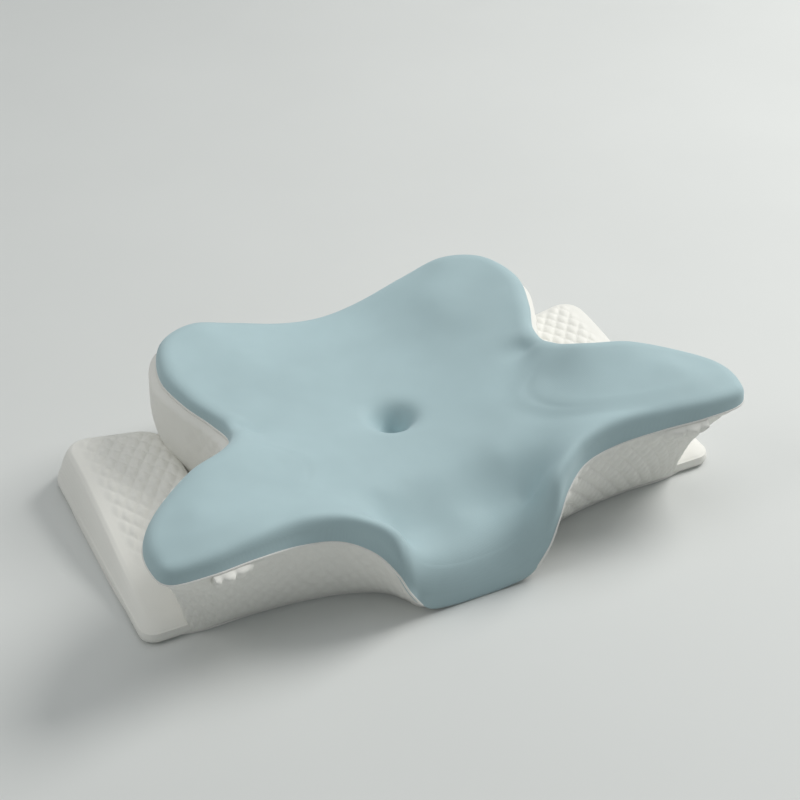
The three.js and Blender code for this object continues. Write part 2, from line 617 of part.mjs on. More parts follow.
// ---- build --------------------------------------------------------------------------------------
const piping = solid(cordLoop(seamPoints, PIPING_R));
add('top_seam_piping', geometryOf(piping), WHITE_CORD);
const shelfRooms = [1, -1].map((side) => shelfBody(side, -GAP, FOOT_Z - CUT_BELOW));
const bodyRoom = upperBody(-GAP, FOOT_Z - CUT_BELOW);
const zipRoom = solid(box(2 * ZIP_WINDOW.halfX, ZIP_WINDOW.reach, 2 * ZIP_ROOM.halfZ,
  0, ZIP.y - ZIP_ROOM.depth + ZIP_WINDOW.reach / 2, ZIP.z));
const cover = [
  piping,
  topPanel(),
  ...wallPanels(shelfRooms),
  ...shelfCovers(bodyRoom),
];
coreAndLiner([...cover, zipRoom]);
underside();
zip();
careLabel();

export default pillow;
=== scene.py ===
"""Contoured neck pillow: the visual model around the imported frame. Shapes are worked out in millimetres."""
import math
import bmesh
import bpy
import numpy as np
from mathutils import Matrix, Vector
from mathutils.kdtree import KDTree


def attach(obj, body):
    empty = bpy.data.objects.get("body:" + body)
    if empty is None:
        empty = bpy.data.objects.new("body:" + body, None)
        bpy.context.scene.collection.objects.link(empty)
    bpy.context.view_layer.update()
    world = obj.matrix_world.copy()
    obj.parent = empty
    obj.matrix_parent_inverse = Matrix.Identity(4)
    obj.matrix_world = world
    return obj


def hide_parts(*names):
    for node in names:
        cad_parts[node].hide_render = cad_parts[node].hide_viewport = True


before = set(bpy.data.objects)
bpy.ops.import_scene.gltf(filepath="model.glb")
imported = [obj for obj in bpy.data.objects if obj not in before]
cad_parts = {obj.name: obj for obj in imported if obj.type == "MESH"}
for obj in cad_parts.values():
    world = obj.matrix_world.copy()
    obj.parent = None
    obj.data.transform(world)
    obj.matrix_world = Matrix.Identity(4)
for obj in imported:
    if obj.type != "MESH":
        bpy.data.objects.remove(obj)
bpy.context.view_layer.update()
MM = 0.001

# ---- camera ---------------------------------------------------------------------------------------
cam_data = bpy.data.cameras.new("camera")
cam_data.lens = 81.57
cam_data.sensor_width = 36
cam = bpy.data.objects.new("camera", cam_data)
bpy.context.scene.collection.objects.link(cam)
cam_right = Vector((0.90011, -0.43556, -0.01166)).normalized()
cam_back = -Vector((0.34651, 0.73169, -0.58700)).normalized()
cam_up = cam_back.cross(cam_right)
cam.matrix_world = Matrix((cam_right, cam_up, cam_back)).transposed().to_4x4()
cam.matrix_world.translation = Vector((-0.59093, -1.27002, 1.11500))
bpy.context.scene.camera = cam

# ---- outline --------------------------------------------------------------------------------------
# Right half, rear centre to front centre: seam x, y, z; crest above the seam; foot x, y; undercut;
# width of the rounded edge, measured square to the seam; how far the wall's top puffs out past the seam.
STATIONS = [
    (0, 172, 84, 14, 0, 178, 0, 26, 0), (46, 174, 88, 15, 48, 178, 0, 26, 0),
    (92, 174, 103, 15, 96, 178, 0, 24, 0), (138, 171, 118, 13, 144, 178, 0, 20, 3),
    (178, 148, 121, 12, 179, 151, 0, 18, 6), (194, 102, 120, 11, 189, 104, 0, 18, 8),
    (186, 62, 114, 10, 180, 60, 0, 18, 6), (171, 26, 109, 9, 166, 22, 0, 18, 5),
    (168, -10, 114, 9, 165, -16, 0, 18, 7), (188, -42, 124, 10, 186, -54, 0.3, 18, 12),
    (226, -62, 127, 11, 214, -84, 0.6, 18, 13), (266, -92, 124, 10, 240, -98, 1, 18, 9),
    (289, -122, 121, 11, 252, -106, 1, 16, 3), (294, -150, 118, 13, 254, -114, 0.95, 15, 0),
    (284, -169, 112, 18, 248, -118, 0.8, 14, 0), (246, -170, 109, 21, 230, -118, 0.5, 14, 0),
    (204, -162, 104, 24, 198, -118, 0.2, 15, 0), (160, -154, 96, 26, 156, -121, 0.1, 16, 0),
    (124, -158, 90, 24, 118, -128, 0, 16, 0), (98, -172, 78, 23, 90, -138, 0, 18, 0),
    (82, -184, 58, 27, 74, -148, 0, 22, 0), (70, -188, 32, 42, 64, -162, 0, 28, 0),
    (54, -187, 10, 53, 54, -178, 0, 38, 0), (28, -187, 4, 55, 28, -185, 0, 44, 0),
    (0, -187, 3.5, 57.5, 0, -186, 0, 46, 0),
]
SX, SY, SZ, CREST, FX, FY, UNDER, BAND, PUFF = range(9)
BASE_OUTLINE = [
    (0, 178), (96, 178), (150, 177), (188, 167), (230, 164), (272, 160), (292, 142), (297, 100),
    (298, 30), (298, -40), (293, -86), (276, -108), (244, -118), (198, -118), (156, -121),
    (118, -128), (90, -138), (74, -148), (64, -162), (54, -178), (28, -185), (0, -186),
]
HOLLOW = np.array([0.0, -5.0])   # the middle of the top, and near it the small round hollow
FOOT_Z = 2.7


def mirrored(half, flips):
    rows = [list(map(float, r)) for r in half]
    back = [[-v if i in flips else v for i, v in enumerate(r)] for r in rows[-2:0:-1]]
    return np.array(rows + back)


def closed_spline(rows, t):
    """A closed Catmull-Rom curve through rows, at parameters counted in rows."""
    n = len(rows)
    i = np.floor(t).astype(int)
    f = (t - i)[:, None]
    a, b, c, d = (rows[(i + k) % n] for k in (-1, 0, 1, 2))
    return 0.5 * (2 * b + (c - a) * f + (2 * a - 5 * b + 4 * c - d) * f ** 2
                  + (3 * b - a - 3 * c + d) * f ** 3)


LOOP = mirrored(STATIONS, (SX, FX))
DENSE_T = np.linspace(0, len(LOOP), 64 * len(LOOP), endpoint=False)
DENSE = closed_spline(LOOP, DENSE_T)
_next = np.roll(DENSE, -1, axis=0)
_steps = np.linalg.norm((_next - DENSE)[:, :2], axis=1)
DENSE_S = np.concatenate([[0], np.cumsum(_steps)])
LENGTH = DENSE_S[-1]


def at_length(s):
    """Outline rows at distances along the seam, and the level outward direction there."""
    t = np.interp(np.mod(s, LENGTH), DENSE_S, np.append(DENSE_T, len(LOOP)))
    rows = closed_spline(LOOP, t)
    step = 0.01
    ahead, behind = (closed_spline(LOOP, t + e)[:, :2] for e in (step, -step))
    tangent = ahead - behind
    tangent /= np.linalg.norm(tangent, axis=1)[:, None]
    return rows, np.stack([-tangent[:, 1], tangent[:, 0]], 1)


def length_at(station):
    return float(np.interp(station, np.append(DENSE_T, len(LOOP)), DENSE_S))


def smooth(x, lo, hi):
    q = np.clip((x - lo) / (hi - lo), 0, 1)
    return q * q * (3 - 2 * q)


# ---- height of the top ----------------------------------------------------------------------------
# Heights of the broad shape at places inside the outline, right half.
INNER_HEIGHTS = [
    (0, -5, 88), (36, -5, 89), (0, 30, 88), (0, -40, 88.5), (26, -30, 88.5), (26, 22, 88.5),
    (0, 80, 91), (0, 120, 95), (50, 40, 92), (50, 90, 97), (90, 60, 103), (110, 110, 119),
    (142, 122, 127), (80, 0, 97), (120, 0, 107), (146, 0, 113), (120, 40, 109), (60, -60, 94),
    (100, -60, 105), (140, -60, 115), (195, -90, 131), (60, -110, 89), (100, -110, 101),
    (30, -100, 84), (0, -75, 86), (0, -110, 77), (240, -120, 136), (150, -105, 117),
]


def plate(points, values, stiffness=1e-3):
    """A thin-plate surface near values at points; returns a function of (n, 2) arrays."""
    def phi(a, b):
        r2 = ((a[:, None] - b[None]) ** 2).sum(-1)
        return 0.5 * r2 * np.log(r2 + 1e-9)
    scale = 100.0
    p = points / scale
    n = len(p)
    tail = np.hstack([np.ones((n, 1)), p])
    lhs = np.block([[phi(p, p) + stiffness * np.eye(n), tail], [tail.T, np.zeros((3, 3))]])
    w = np.linalg.solve(lhs, np.concatenate([values, np.zeros(3)]))

    def value(q):
        q = q / scale
        return phi(q, p) @ w[:n] + w[n] + q @ w[n + 1:]
    return value


def crest_surface():
    s = np.array([length_at(k) for k in np.arange(0, len(LOOP), 0.5)])
    rows, out = at_length(s)
    ring = rows[:, :2] - out * rows[:, BAND:BAND + 1]
    inner = np.array(INNER_HEIGHTS, float)
    left = inner[inner[:, 0] > 0] * [-1, 1, 1]
    points = np.vstack([ring, inner[:, :2], left[:, :2]])
    values = np.concatenate([rows[:, SZ] + rows[:, CREST], inner[:, 2], left[:, 2]])
    return plate(points, values)


BROAD = crest_surface()


def pad_ring(xy, centre, axes, lean):
    """1 on the edge of an ellipse, less inside it; mirrored left to right."""
    x, y = np.abs(xy[:, 0]) - centre[0], xy[:, 1] - centre[1]
    u = x * math.cos(lean) + y * math.sin(lean)
    v = -x * math.sin(lean) + y * math.cos(lean)
    return np.sqrt((u / axes[0]) ** 2 + (v / axes[1]) ** 2)


WING_PAD_RISE, LOBE_PAD_RISE = 3.0, 1.3


def relief(xy):
    """Soft pads and dips moulded into the foam."""
    wing = pad_ring(xy, (205, -95), (95, 46), math.radians(-24))
    lobe = pad_ring(xy, (142, 112), (50, 52), 0)
    z = (WING_PAD_RISE * (1 - smooth(wing, 0.80, 1.26))
         + LOBE_PAD_RISE * (1 - smooth(lobe, 0.70, 1.35)))
    z -= 0.4 * np.exp(-((wing - 1.24) / 0.15) ** 2)
    # shallow crease arcs where the cover is drawn in at the pads' inner ends
    inner_end = np.exp(-((np.abs(xy[:, 0]) - 118) / 30) ** 2 - ((xy[:, 1] + 62) / 42) ** 2)
    z -= 0.7 * inner_end * np.exp(-((wing - 1.0) / 0.05) ** 2)
    z += 2.0 * np.exp(-((xy[:, 0] / 55) ** 2 + ((xy[:, 1] + 88) / 34) ** 2))
    return z


HOLLOW_SHIFT = [-1.5, -2.0]
PIT_DEPTH, PIT_R = 33, 16.0       # the hollow itself
DISH_DEPTH, DISH_R = 2.5, 34.0    # the shallow dish round it


def hollow(xy):
    r2 = ((xy - HOLLOW - HOLLOW_SHIFT) ** 2).sum(1)
    return PIT_DEPTH * np.exp(-r2 / PIT_R ** 2) + DISH_DEPTH * np.exp(-r2 / DISH_R ** 2)


def crown(xy):
    return BROAD(xy) + relief(xy)


ROLL_POWER, FRONT_ROLL_POWER = 2.3, 3.4   # squarer along the wings' tall front edges


def top_height(xy, d, s):
    """Height of the blue top at points a distance d inside the seam, nearest to length s along it."""
    rows, _ = at_length(s)
    drop = crown(rows[:, :2]) - rows[:, SZ]
    u = np.clip(1 - d / rows[:, BAND], 0, 1)
    tall = smooth(rows[:, CREST], 13, 21) * smooth(rows[:, SZ], 40, 80)
    power = ROLL_POWER + (FRONT_ROLL_POWER - ROLL_POWER) * tall
    fall = 1 - (1 - u ** power) ** (1 / power)
    return crown(xy) - drop * fall - hollow(xy)


SEAM_TREE = KDTree(len(DENSE))
for _i, _p in enumerate(DENSE):
    SEAM_TREE.insert((_p[0], _p[1], 0), _i)
SEAM_TREE.balance()


def nearest_seam(xy):
    """Distance to the seam and the length along it, per point."""
    d, s = np.empty(len(xy)), np.empty(len(xy))
    for i, p in enumerate(xy):
        _, k, d[i] = SEAM_TREE.find((p[0], p[1], 0))
        s[i] = DENSE_S[k]
    return d, s


# ---- meshes ---------------------------------------------------------------------------------------
def make(name, verts, faces, material, body="pillow", nodes=(), smooth_faces=True, uv=None):
    mesh = bpy.data.meshes.new(name)
    faces = faces if isinstance(faces, list) else faces.tolist()
    mesh.from_pydata((np.asarray(verts) * MM).tolist(), [], faces)
    mesh.validate()
    if uv is not None:
        layer = mesh.uv_layers.new(name="cloth")
        loops = np.empty(len(mesh.loops), int)
        mesh.loops.foreach_get("vertex_index", loops)
        layer.data.foreach_set("uv", np.asarray(uv, float)[loops].ravel())
    if smooth_faces:
        mesh.shade_smooth()
    obj = bpy.data.objects.new(name, mesh)
    bpy.context.scene.collection.objects.link(obj)
    obj.data.materials.append(material)
    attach(obj, body)
    if nodes:
        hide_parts(*nodes)
    return obj


def grid_faces(rows, cols, closed, offset=0):
    """Quads of a grid of rows by cols points; facing up when rows go inward and cols go clockwise."""
    r, c = np.meshgrid(np.arange(rows - 1), np.arange(cols if closed else cols - 1), indexing="ij")
    a = r * cols + c
    b = r * cols + (c + 1) % cols
    return np.stack([a, b, b + cols, a + cols], -1).reshape(-1, 4) + offset


def grid_normals(grid, closed):
    """Unit normals of a (rows, cols, 3) grid by central differences."""
    if closed:
        du = np.roll(grid, -1, 1) - np.roll(grid, 1, 1)
    else:
        du = np.gradient(grid, axis=1)
    dv = np.gradient(grid, axis=0)
    n = np.cross(du, dv)
    return n / (np.linalg.norm(n, axis=-1)[..., None] + 1e-12)


def shell(outer, inner, closed):
    """A closed skin between two grids of the same shape. Returns vertices and faces."""
    rows, cols = outer.shape[:2]
    verts = np.vstack([outer.reshape(-1, 3), inner.reshape(-1, 3)])
    n = rows * cols
    up = grid_faces(rows, cols, closed)
    down = grid_faces(rows, cols, closed, n)[:, ::-1]
    k = np.arange(cols if closed else cols - 1)
    k2 = (k + 1) % cols
    top = np.stack([k, k + n, k2 + n, k2], 1)
    last = (rows - 1) * cols
    foot = np.stack([last + k, last + k2, last + k2 + n, last + k + n], 1)
    parts = [up, down, top, foot]
    if not closed:
        r = np.arange(rows - 1) * cols
        parts.append(np.stack([r, r + cols, r + cols + n, r + n], 1))
        e = r + cols - 1
        parts.append(np.stack([e, e + n, e + cols + n, e + cols], 1))
    return verts, np.vstack(parts)


def tube(points, radii, sides, closed):
    """A tube along points; radii is a number or one per point."""
    p = np.asarray(points, float)
    n = len(p)
    radii = np.broadcast_to(radii, n)
    t = (np.roll(p, -1, 0) - np.roll(p, 1, 0)) if closed else np.gradient(p, axis=0)
    t /= np.linalg.norm(t, axis=1)[:, None]
    side = np.cross(t, [0, 0, 1.0])
    side /= np.linalg.norm(side, axis=1)[:, None] + 1e-12
    up = np.cross(side, t)
    a = np.linspace(0, 2 * np.pi, sides, endpoint=False)
    ring = (np.cos(a)[None, :, None] * side[:, None] + np.sin(a)[None, :, None] * up[:, None])
    verts = (p[:, None] + ring * radii[:, None, None]).reshape(-1, 3)
    r, c = np.meshgrid(np.arange(n if closed else n - 1), np.arange(sides), indexing="ij")
    a0, b0 = r * sides + c, r * sides + (c + 1) % sides
    a1, b1 = ((r + 1) % n) * sides + c, ((r + 1) % n) * sides + (c + 1) % sides
    faces = np.stack([a0, b0, b1, a1], -1).reshape(-1, 4).tolist()
    if not closed:
        faces.append(list(range(sides))[::-1])
        faces.append([(n - 1) * sides + k for k in range(sides)])
    return verts, faces


# ---- materials ------------------------------------------------------------------------------------
def material(name, color, roughness, build=None, sheen=0.0, metallic=0.0, sheen_tint=None):
    mat = bpy.data.materials.new(name)
    mat.use_nodes = True
    nodes, links = mat.node_tree.nodes, mat.node_tree.links
    bsdf = nodes["Principled BSDF"]
    bsdf.inputs["Base Color"].default_value = (*color, 1)
    bsdf.inputs["Roughness"].default_value = roughness
    bsdf.inputs["Metallic"].default_value = metallic
    bsdf.inputs["Sheen Weight"].default_value = sheen
    bsdf.inputs["Sheen Roughness"].default_value = 0.45
    if sheen_tint:
        bsdf.inputs["Sheen Tint"].default_value = (*sheen_tint, 1)
    if build:
        build(nodes, links, bsdf, color, roughness)
    return mat


class Graph:
    """Short names for making nodes in one material."""

    def __init__(self, nodes, links):
        self.nodes, self.links = nodes, links
        self.coord = nodes.new("ShaderNodeTexCoord")

    def put(self, socket, value):
        if isinstance(value, bpy.types.NodeSocket):
            self.links.new(value, socket)
        else:
            socket.default_value = value

    def math(self, op, a, b=0.0):
        node = self.nodes.new("ShaderNodeMath")
        node.operation = op
        self.put(node.inputs[0], a)
        self.put(node.inputs[1], b)
        return node.outputs[0]

    def noise(self, scale, detail=3.0, rough=0.5, vector=None):
        node = self.nodes.new("ShaderNodeTexNoise")
        node.inputs["Scale"].default_value = scale
        node.inputs["Detail"].default_value = detail
        node.inputs["Roughness"].default_value = rough
        self.links.new(vector or self.coord.outputs["Object"], node.inputs["Vector"])
        return node.outputs["Fac"]

    def spread(self, value, lo, hi, from_lo=0.3, from_hi=0.7):
        node = self.nodes.new("ShaderNodeMapRange")
        self.put(node.inputs["Value"], value)
        for key, v in (("From Min", from_lo), ("From Max", from_hi), ("To Min", lo), ("To Max", hi)):
            node.inputs[key].default_value = v
        return node.outputs["Result"]

    def mix(self, factor, a, b):
        node = self.nodes.new("ShaderNodeMix")
        node.data_type = "RGBA"
        self.put(node.inputs["Factor"], factor)
        self.put(node.inputs["A"], (*a, 1) if isinstance(a, tuple) else a)
        self.put(node.inputs["B"], (*b, 1) if isinstance(b, tuple) else b)
        return node.outputs["Result"]

    def bump(self, height, strength, distance, normal=None):
        node = self.nodes.new("ShaderNodeBump")
        node.inputs["Strength"].default_value = strength
        node.inputs["Distance"].default_value = distance
        self.links.new(height, node.inputs["Height"])
        if normal is not None:
            self.links.new(normal, node.inputs["Normal"])
        return node.outputs["Normal"]

    def uv_axes(self, pitch_u, pitch_v):
        """Phases, in radians, along the cloth's two directions."""
        node = self.nodes.new("ShaderNodeSeparateXYZ")
        self.links.new(self.coord.outputs["UV"], node.inputs[0])
        return (self.math("MULTIPLY", node.outputs[0], 2 * math.pi / pitch_u),
                self.math("MULTIPLY", node.outputs[1], 2 * math.pi / pitch_v))


def shade(color, k):
    return tuple(min(1, c * k) for c in color)


def knit(pitch_u, pitch_v, depth, wash=0.06, fuzz=0.3):
    """Jersey knit: columns of small loops, a little colour variation, loose fibre, and painted shade that
    darkens the colour in the hollows between loops.
    """
    def build(nodes, links, bsdf, color, roughness):
        g = Graph(nodes, links)
        u, v = g.uv_axes(pitch_u, pitch_v)
        lean = g.math("MULTIPLY", g.math("ABSOLUTE", g.math("SINE", g.math("MULTIPLY", u, 0.5))), 2.2)
        loops = g.math("SINE", g.math("ADD", v, lean))
        columns = g.math("ABSOLUTE", g.math("SINE", g.math("MULTIPLY", u, 0.5)))
        height = g.math("ADD", g.math("MULTIPLY", loops, 0.35), columns)
        fibre = g.noise(2600, 2)
        height = g.math("ADD", height, g.math("MULTIPLY", fibre, fuzz))
        broad = g.noise(9, 3, 0.55)
        tone_and_painted_shade = g.mix(g.spread(broad, 0, 1), shade(color, 1 - wash), shade(color, 1 + wash))
        # painted shade: the colour is darkened toward 0.72 of itself where the knit's bump height is low, in
        # the hollows between loops
        tone_and_painted_shade = g.mix(g.spread(height, 0.16, 0, 0.0, 1.0), tone_and_painted_shade, shade(color, 0.72))
        links.new(tone_and_painted_shade, bsdf.inputs["Base Color"])
        links.new(g.spread(g.noise(60, 3), roughness - 0.06, roughness + 0.05), bsdf.inputs["Roughness"])
        links.new(g.bump(height, 0.16, depth), bsdf.inputs["Normal"])
    return build


def mottled(scale, wash, depth, strength=0.25):
    def build(nodes, links, bsdf, color, roughness):
        g = Graph(nodes, links)
        n = g.noise(scale, 5, 0.6)
        links.new(g.mix(g.spread(n, 0, 1), shade(color, 1 - wash), shade(color, 1 + wash)),
                  bsdf.inputs["Base Color"])
        links.new(g.spread(n, roughness - 0.05, roughness + 0.05), bsdf.inputs["Roughness"])
        links.new(g.bump(g.noise(scale * 4, 4), strength, depth), bsdf.inputs["Normal"])
    return build


BLUE = material("blue_knit", (0.397, 0.530, 0.560), 0.78, knit(0.0011, 0.0009, 0.00025), sheen=0.35,
                sheen_tint=(0.80, 0.90, 0.95))
WHITE = material("white_quilt", (0.85, 0.845, 0.80), 0.82, knit(0.0012, 0.0010, 0.0003, 0.03), sheen=0.25)
CORD = material("white_cord", (0.83, 0.82, 0.79), 0.75, mottled(900, 0.05, 0.0003), sheen=0.2)
THREAD = material("white_thread", (0.86, 0.85, 0.82), 0.6, mottled(1500, 0.05, 0.0001), sheen=0.2)
FOAM = material("foam", (0.88, 0.82, 0.68), 0.95, mottled(700, 0.08, 0.0006, 0.6))
LINER = material("liner_knit", (0.86, 0.86, 0.84), 0.88, mottled(1200, 0.04, 0.0002), sheen=0.2)
MESH = material("underside_mesh", (0.66, 0.66, 0.64), 0.9, mottled(800, 0.08, 0.0004, 0.5))
TAPE = material("zip_tape", (0.78, 0.77, 0.74), 0.8, mottled(1800, 0.05, 0.0002))
RESIN = material("zip_resin", (0.76, 0.77, 0.76), 0.42, mottled(300, 0.03, 0.0001, 0.1))
METAL = material("zip_metal", (0.60, 0.61, 0.62), 0.32, mottled(500, 0.06, 0.0001, 0.15), metallic=1.0)
SATIN = material("label_satin", (0.86, 0.86, 0.84), 0.45, mottled(1600, 0.04, 0.0001), sheen=0.3)
FLOOR = material("pale_floor", (0.66, 0.678, 0.668), 0.6, mottled(3, 0.01, 0.0002, 0.05))

# ---- blue top -------------------------------------------------------------------------------------
TOP_COLUMNS = 640
TOP_EDGE = np.array([0, 0.4, 0.9, 1.6, 2.5, 3.6, 5, 6.6, 8.4])   # inside the tightest corner's radius
TOP_T = 2.2
CENTRE_ROWS = 84
LIP_OUT, LIP_DROP = 1.5, 2.7   # the lip at the front: past the seam, and below it
HOLLOW_ROWS = 16
HOLLOW_R = 42.0


def top_grid():
    """Plan positions, distance inside the seam and nearest seam length of the top's grid points."""
    s = np.arange(TOP_COLUMNS) * LENGTH / TOP_COLUMNS
    rows, out = at_length(s)
    plan, dist, near = [], [], []
    low = 1 - smooth(rows[:, SZ], 6, 20)
    lip = (0.15 + LIP_OUT * low)[:, None]
    plan.append(rows[:, :2] + out * lip)
    dist.append(np.zeros(len(s)))
    near.append(s)
    for d in TOP_EDGE:
        plan.append(rows[:, :2] - out * (d - LIP_OUT * low[:, None] * math.exp(-d / 3)))
        dist.append(np.full(len(s), d))
        near.append(s)
    ring = plan[-1]
    radius = np.linalg.norm(ring - HOLLOW, axis=1)
    stop = HOLLOW_R / radius
    fractions = [1 + (stop - 1) * (k / CENTRE_ROWS) ** 1.35 for k in range(1, CENTRE_ROWS + 1)]
    fractions += [stop * (1 - k / HOLLOW_ROWS) for k in range(1, HOLLOW_ROWS)]
    for f in fractions:
        xy = HOLLOW + (ring - HOLLOW) * f[:, None]
        d, sn = nearest_seam(xy)
        plan.append(xy)
        dist.append(d)
        near.append(sn)
    return np.array(plan), np.array(dist), np.array(near)


def top_panel():
    plan, dist, near = top_grid()
    rows, cols = plan.shape[:2]
    flat = plan.reshape(-1, 2)
    z = top_height(flat, dist.ravel(), near.ravel())
    z[:cols] -= 0.2 + LIP_DROP * (1 - smooth(at_length(near[0])[0][:, SZ], 6, 20))
    outer = np.concatenate([flat, z[:, None]], 1).reshape(rows, cols, 3)
    normal = grid_normals(outer, True)
    if normal[rows // 2, :, 2].mean() < 0:
        normal = -normal
    inner = outer - normal * TOP_T
    outer[..., 2] = np.maximum(outer[..., 2], 0.5)
    inner[..., 2] = np.maximum(inner[..., 2], 0.4)
    verts, faces = shell(outer, inner, True)
    n = rows * cols
    last = (rows - 1) * cols
    faces = faces[:-cols].tolist()
    pole_xy = HOLLOW[None]
    d, s = nearest_seam(pole_xy)
    pole_z = top_height(pole_xy, d, s)[0]
    k = len(verts)
    verts = np.vstack([verts, [*HOLLOW, pole_z], [*HOLLOW, pole_z - TOP_T]])
    for c in range(cols):
        c2 = (c + 1) % cols
        faces.append([last + c, last + c2, k])
        faces.append([n + last + c2, n + last + c, k + 1])
    obj = make("blue_top", verts, faces, BLUE, nodes=("top_panel",),
               uv=verts[:, :2] * MM)
    return obj


blue_top = top_panel()

# ---- walls ----------------------------------------------------------------------------------------
WALL_T = 2.0
PANEL_LAP = 0.7   # neighbouring panels run this far past their shared seam
SEAM_DROP = 1.6   # the walls start this far below the seam line, under the piping
QUILT_U, QUILT_V = 14.6, 20.0
SCOOP_POWER = 2.2   # how soon the arm slot's undercut draws the wall in
BELLY = 3.0         # most that a wall swells between its seam and its foot
PUFF_START, PUFF_FULL = 0.5, 9   # mm below the seam where the puff begins and is full
WALL_ROWS, WALL_SPACING = 72, 1.7
QUILT_RIGHT, QUILT_LEFT, QUILT_SIDE, QUILT_SHELF = 2.8, 1.6, 1.7, 2.7   # the diamonds' height
GATHER_STATION, GATHER_SPREAD = 15.2, 32   # where the gathers are, and how far along the seam they run


def quilt(u, v, pitch_u=QUILT_U, pitch_v=QUILT_V):
    """Puffed diamonds between two sets of stitched lines: 0 on a line, 1 in the middle of a diamond."""
    a, b = u / pitch_u + v / pitch_v, u / pitch_u - v / pitch_v
    return (np.abs(np.sin(np.pi * a)) * np.abs(np.sin(np.pi * b))) ** 0.55


def wall_points(s, t):
    """Points of the wall at lengths s and depths t (0 at the seam, 1 at the foot), both arrays."""
    rows, out = at_length(s)
    seam = rows[:, :2]
    radial = seam - HOLLOW
    radial /= np.linalg.norm(radial, axis=1)[:, None]
    belly = np.minimum(BELLY, rows[:, SZ] / 20)
    scoop = 1 - (1 - np.clip(t, 0, 1)) ** SCOOP_POWER
    along = t + (scoop - t) * rows[:, UNDER]
    plan = seam + (rows[:, FX:FX + 2] - seam) * along[:, None]
    plan = plan + radial * (belly * np.sin(np.pi * t))[:, None]
    height = rows[:, SZ] - FOOT_Z
    down = t * height
    puff = rows[:, PUFF] * smooth(down, PUFF_START, PUFF_FULL) * (1 - smooth(t, 0.35, 0.95))
    plan = plan + out * puff[:, None]
    z = rows[:, SZ] + (FOOT_Z - rows[:, SZ]) * t
    return np.column_stack([plan, z]), rows


def wall_depths(count, rows):
    """Fractions down the wall, per row of the grid: a short step under the piping first."""
    height = (rows[:, SZ] - FOOT_Z)
    start = np.minimum(SEAM_DROP / height, 0.4)
    k = np.linspace(0, 1, count)[:, None]
    return start[None] + (1 - start[None]) * k


def wall_panel(name, s0, s1, node, amplitude, extra=None):
    """One sewn wall panel from length s0 to s1. amplitude(s, v, height) is the quilt's puff in mm."""
    cols = int(abs(s1 - s0) / WALL_SPACING)
    lap = PANEL_LAP * np.sign(s1 - s0)
    s = np.linspace(s0 - lap, s1 + lap, cols)
    rows, _ = at_length(s)
    t = wall_depths(WALL_ROWS, rows)
    grid = np.empty((WALL_ROWS, cols, 3))
    for r in range(WALL_ROWS):
        grid[r], _ = wall_points(s, t[r])
    normal = grid_normals(grid, False)
    outward = at_length(s)[1]
    sign = np.sign((normal[WALL_ROWS // 3, :, :2] * outward).sum(-1).mean())
    normal *= sign
    height = rows[:, SZ] - FOOT_Z
    v = t * height[None]
    ss = np.broadcast_to(s, v.shape)
    hh = np.broadcast_to(height, v.shape)
    ends = smooth(np.minimum(ss - min(s0, s1), max(s0, s1) - ss), -3, 4)
    edges = smooth(v, 1.5, 9) * smooth(hh - v, 1.0, 8)
    lift = amplitude(ss, v, hh) * edges * ends
    outer = grid + normal * lift[..., None]
    if extra is not None:
        outer = extra(outer, ss, v)
    outer[..., 2] = np.maximum(outer[..., 2], FOOT_Z - 0.3)
    inner = grid - normal * WALL_T
    inner[..., 2] = np.maximum(inner[..., 2], FOOT_Z - 0.3)
    if sign < 0:
        outer, inner, ss, v = outer[:, ::-1], inner[:, ::-1], ss[:, ::-1], v[:, ::-1]
    verts, faces = shell(outer, inner, False)
    uv = np.stack([ss, v], -1).reshape(-1, 2) * MM
    obj = make(name, verts, faces, WHITE, nodes=(node,), uv=np.vstack([uv, uv]))
    return obj


CUT_REAR, CUT_FRONT, HALF = length_at(4), length_at(15), length_at(24)


def quilted(strength):
    def amplitude(s, v, height):
        return strength * quilt(s - HALF, v) * smooth(height, 8, 40)
    return amplitude


def side_quilt(s, v, _height):
    """Smooth round the rear lobes; quilted low in the notch and under the wing."""
    a = np.minimum(s, LENGTH - s)
    station = np.interp(a, [0, CUT_REAR, length_at(6), length_at(8), length_at(11), CUT_FRONT],
                        [0, 0, 0.2, 0.9, 1, 1])
    return QUILT_SIDE * quilt(a - HALF, v) * station


def ruffles(outer, s, v):
    """Soft gathers of the wall's cloth just under the seam near a wing's front corner."""
    a = np.minimum(s, LENGTH - s)
    window = np.exp(-((a - length_at(GATHER_STATION)) / GATHER_SPREAD) ** 2)
    fold = np.sqrt(np.abs(np.sin(a / 5.6 + 0.5 * np.sin(a / 9.0))))
    fade = smooth(v, 0, 5) * (1 - smooth(v, 7 + 4 * fold, 15 + 9 * fold))
    level = at_length(s[0])[1]
    push = window * fade * (4.5 + 6.0 * fold)
    return outer + np.stack([level[:, 0] * push, level[:, 1] * push, -0.15 * push], -1)


wall_panel("front_wall_right_cloth", CUT_FRONT, HALF, "front_wall_right", quilted(QUILT_RIGHT), ruffles)
wall_panel("front_wall_left_cloth", LENGTH - HALF, LENGTH - CUT_FRONT, "front_wall_left",
           quilted(QUILT_LEFT), ruffles)
wall_panel("side_wall_right_cloth", CUT_REAR, CUT_FRONT, "side_wall_right", side_quilt)
wall_panel("side_wall_left_cloth", LENGTH - CUT_FRONT, LENGTH - CUT_REAR, "side_wall_left", side_quilt)

# ---- rear wall, open over the zip -----------------------------------------------------------------
ZIP_HALF, ZIP_Z, ZIP_Y = 112.0, 24.0, 175.1
WINDOW_HALF_X, WINDOW_HALF_Z = 117.0, 4.6


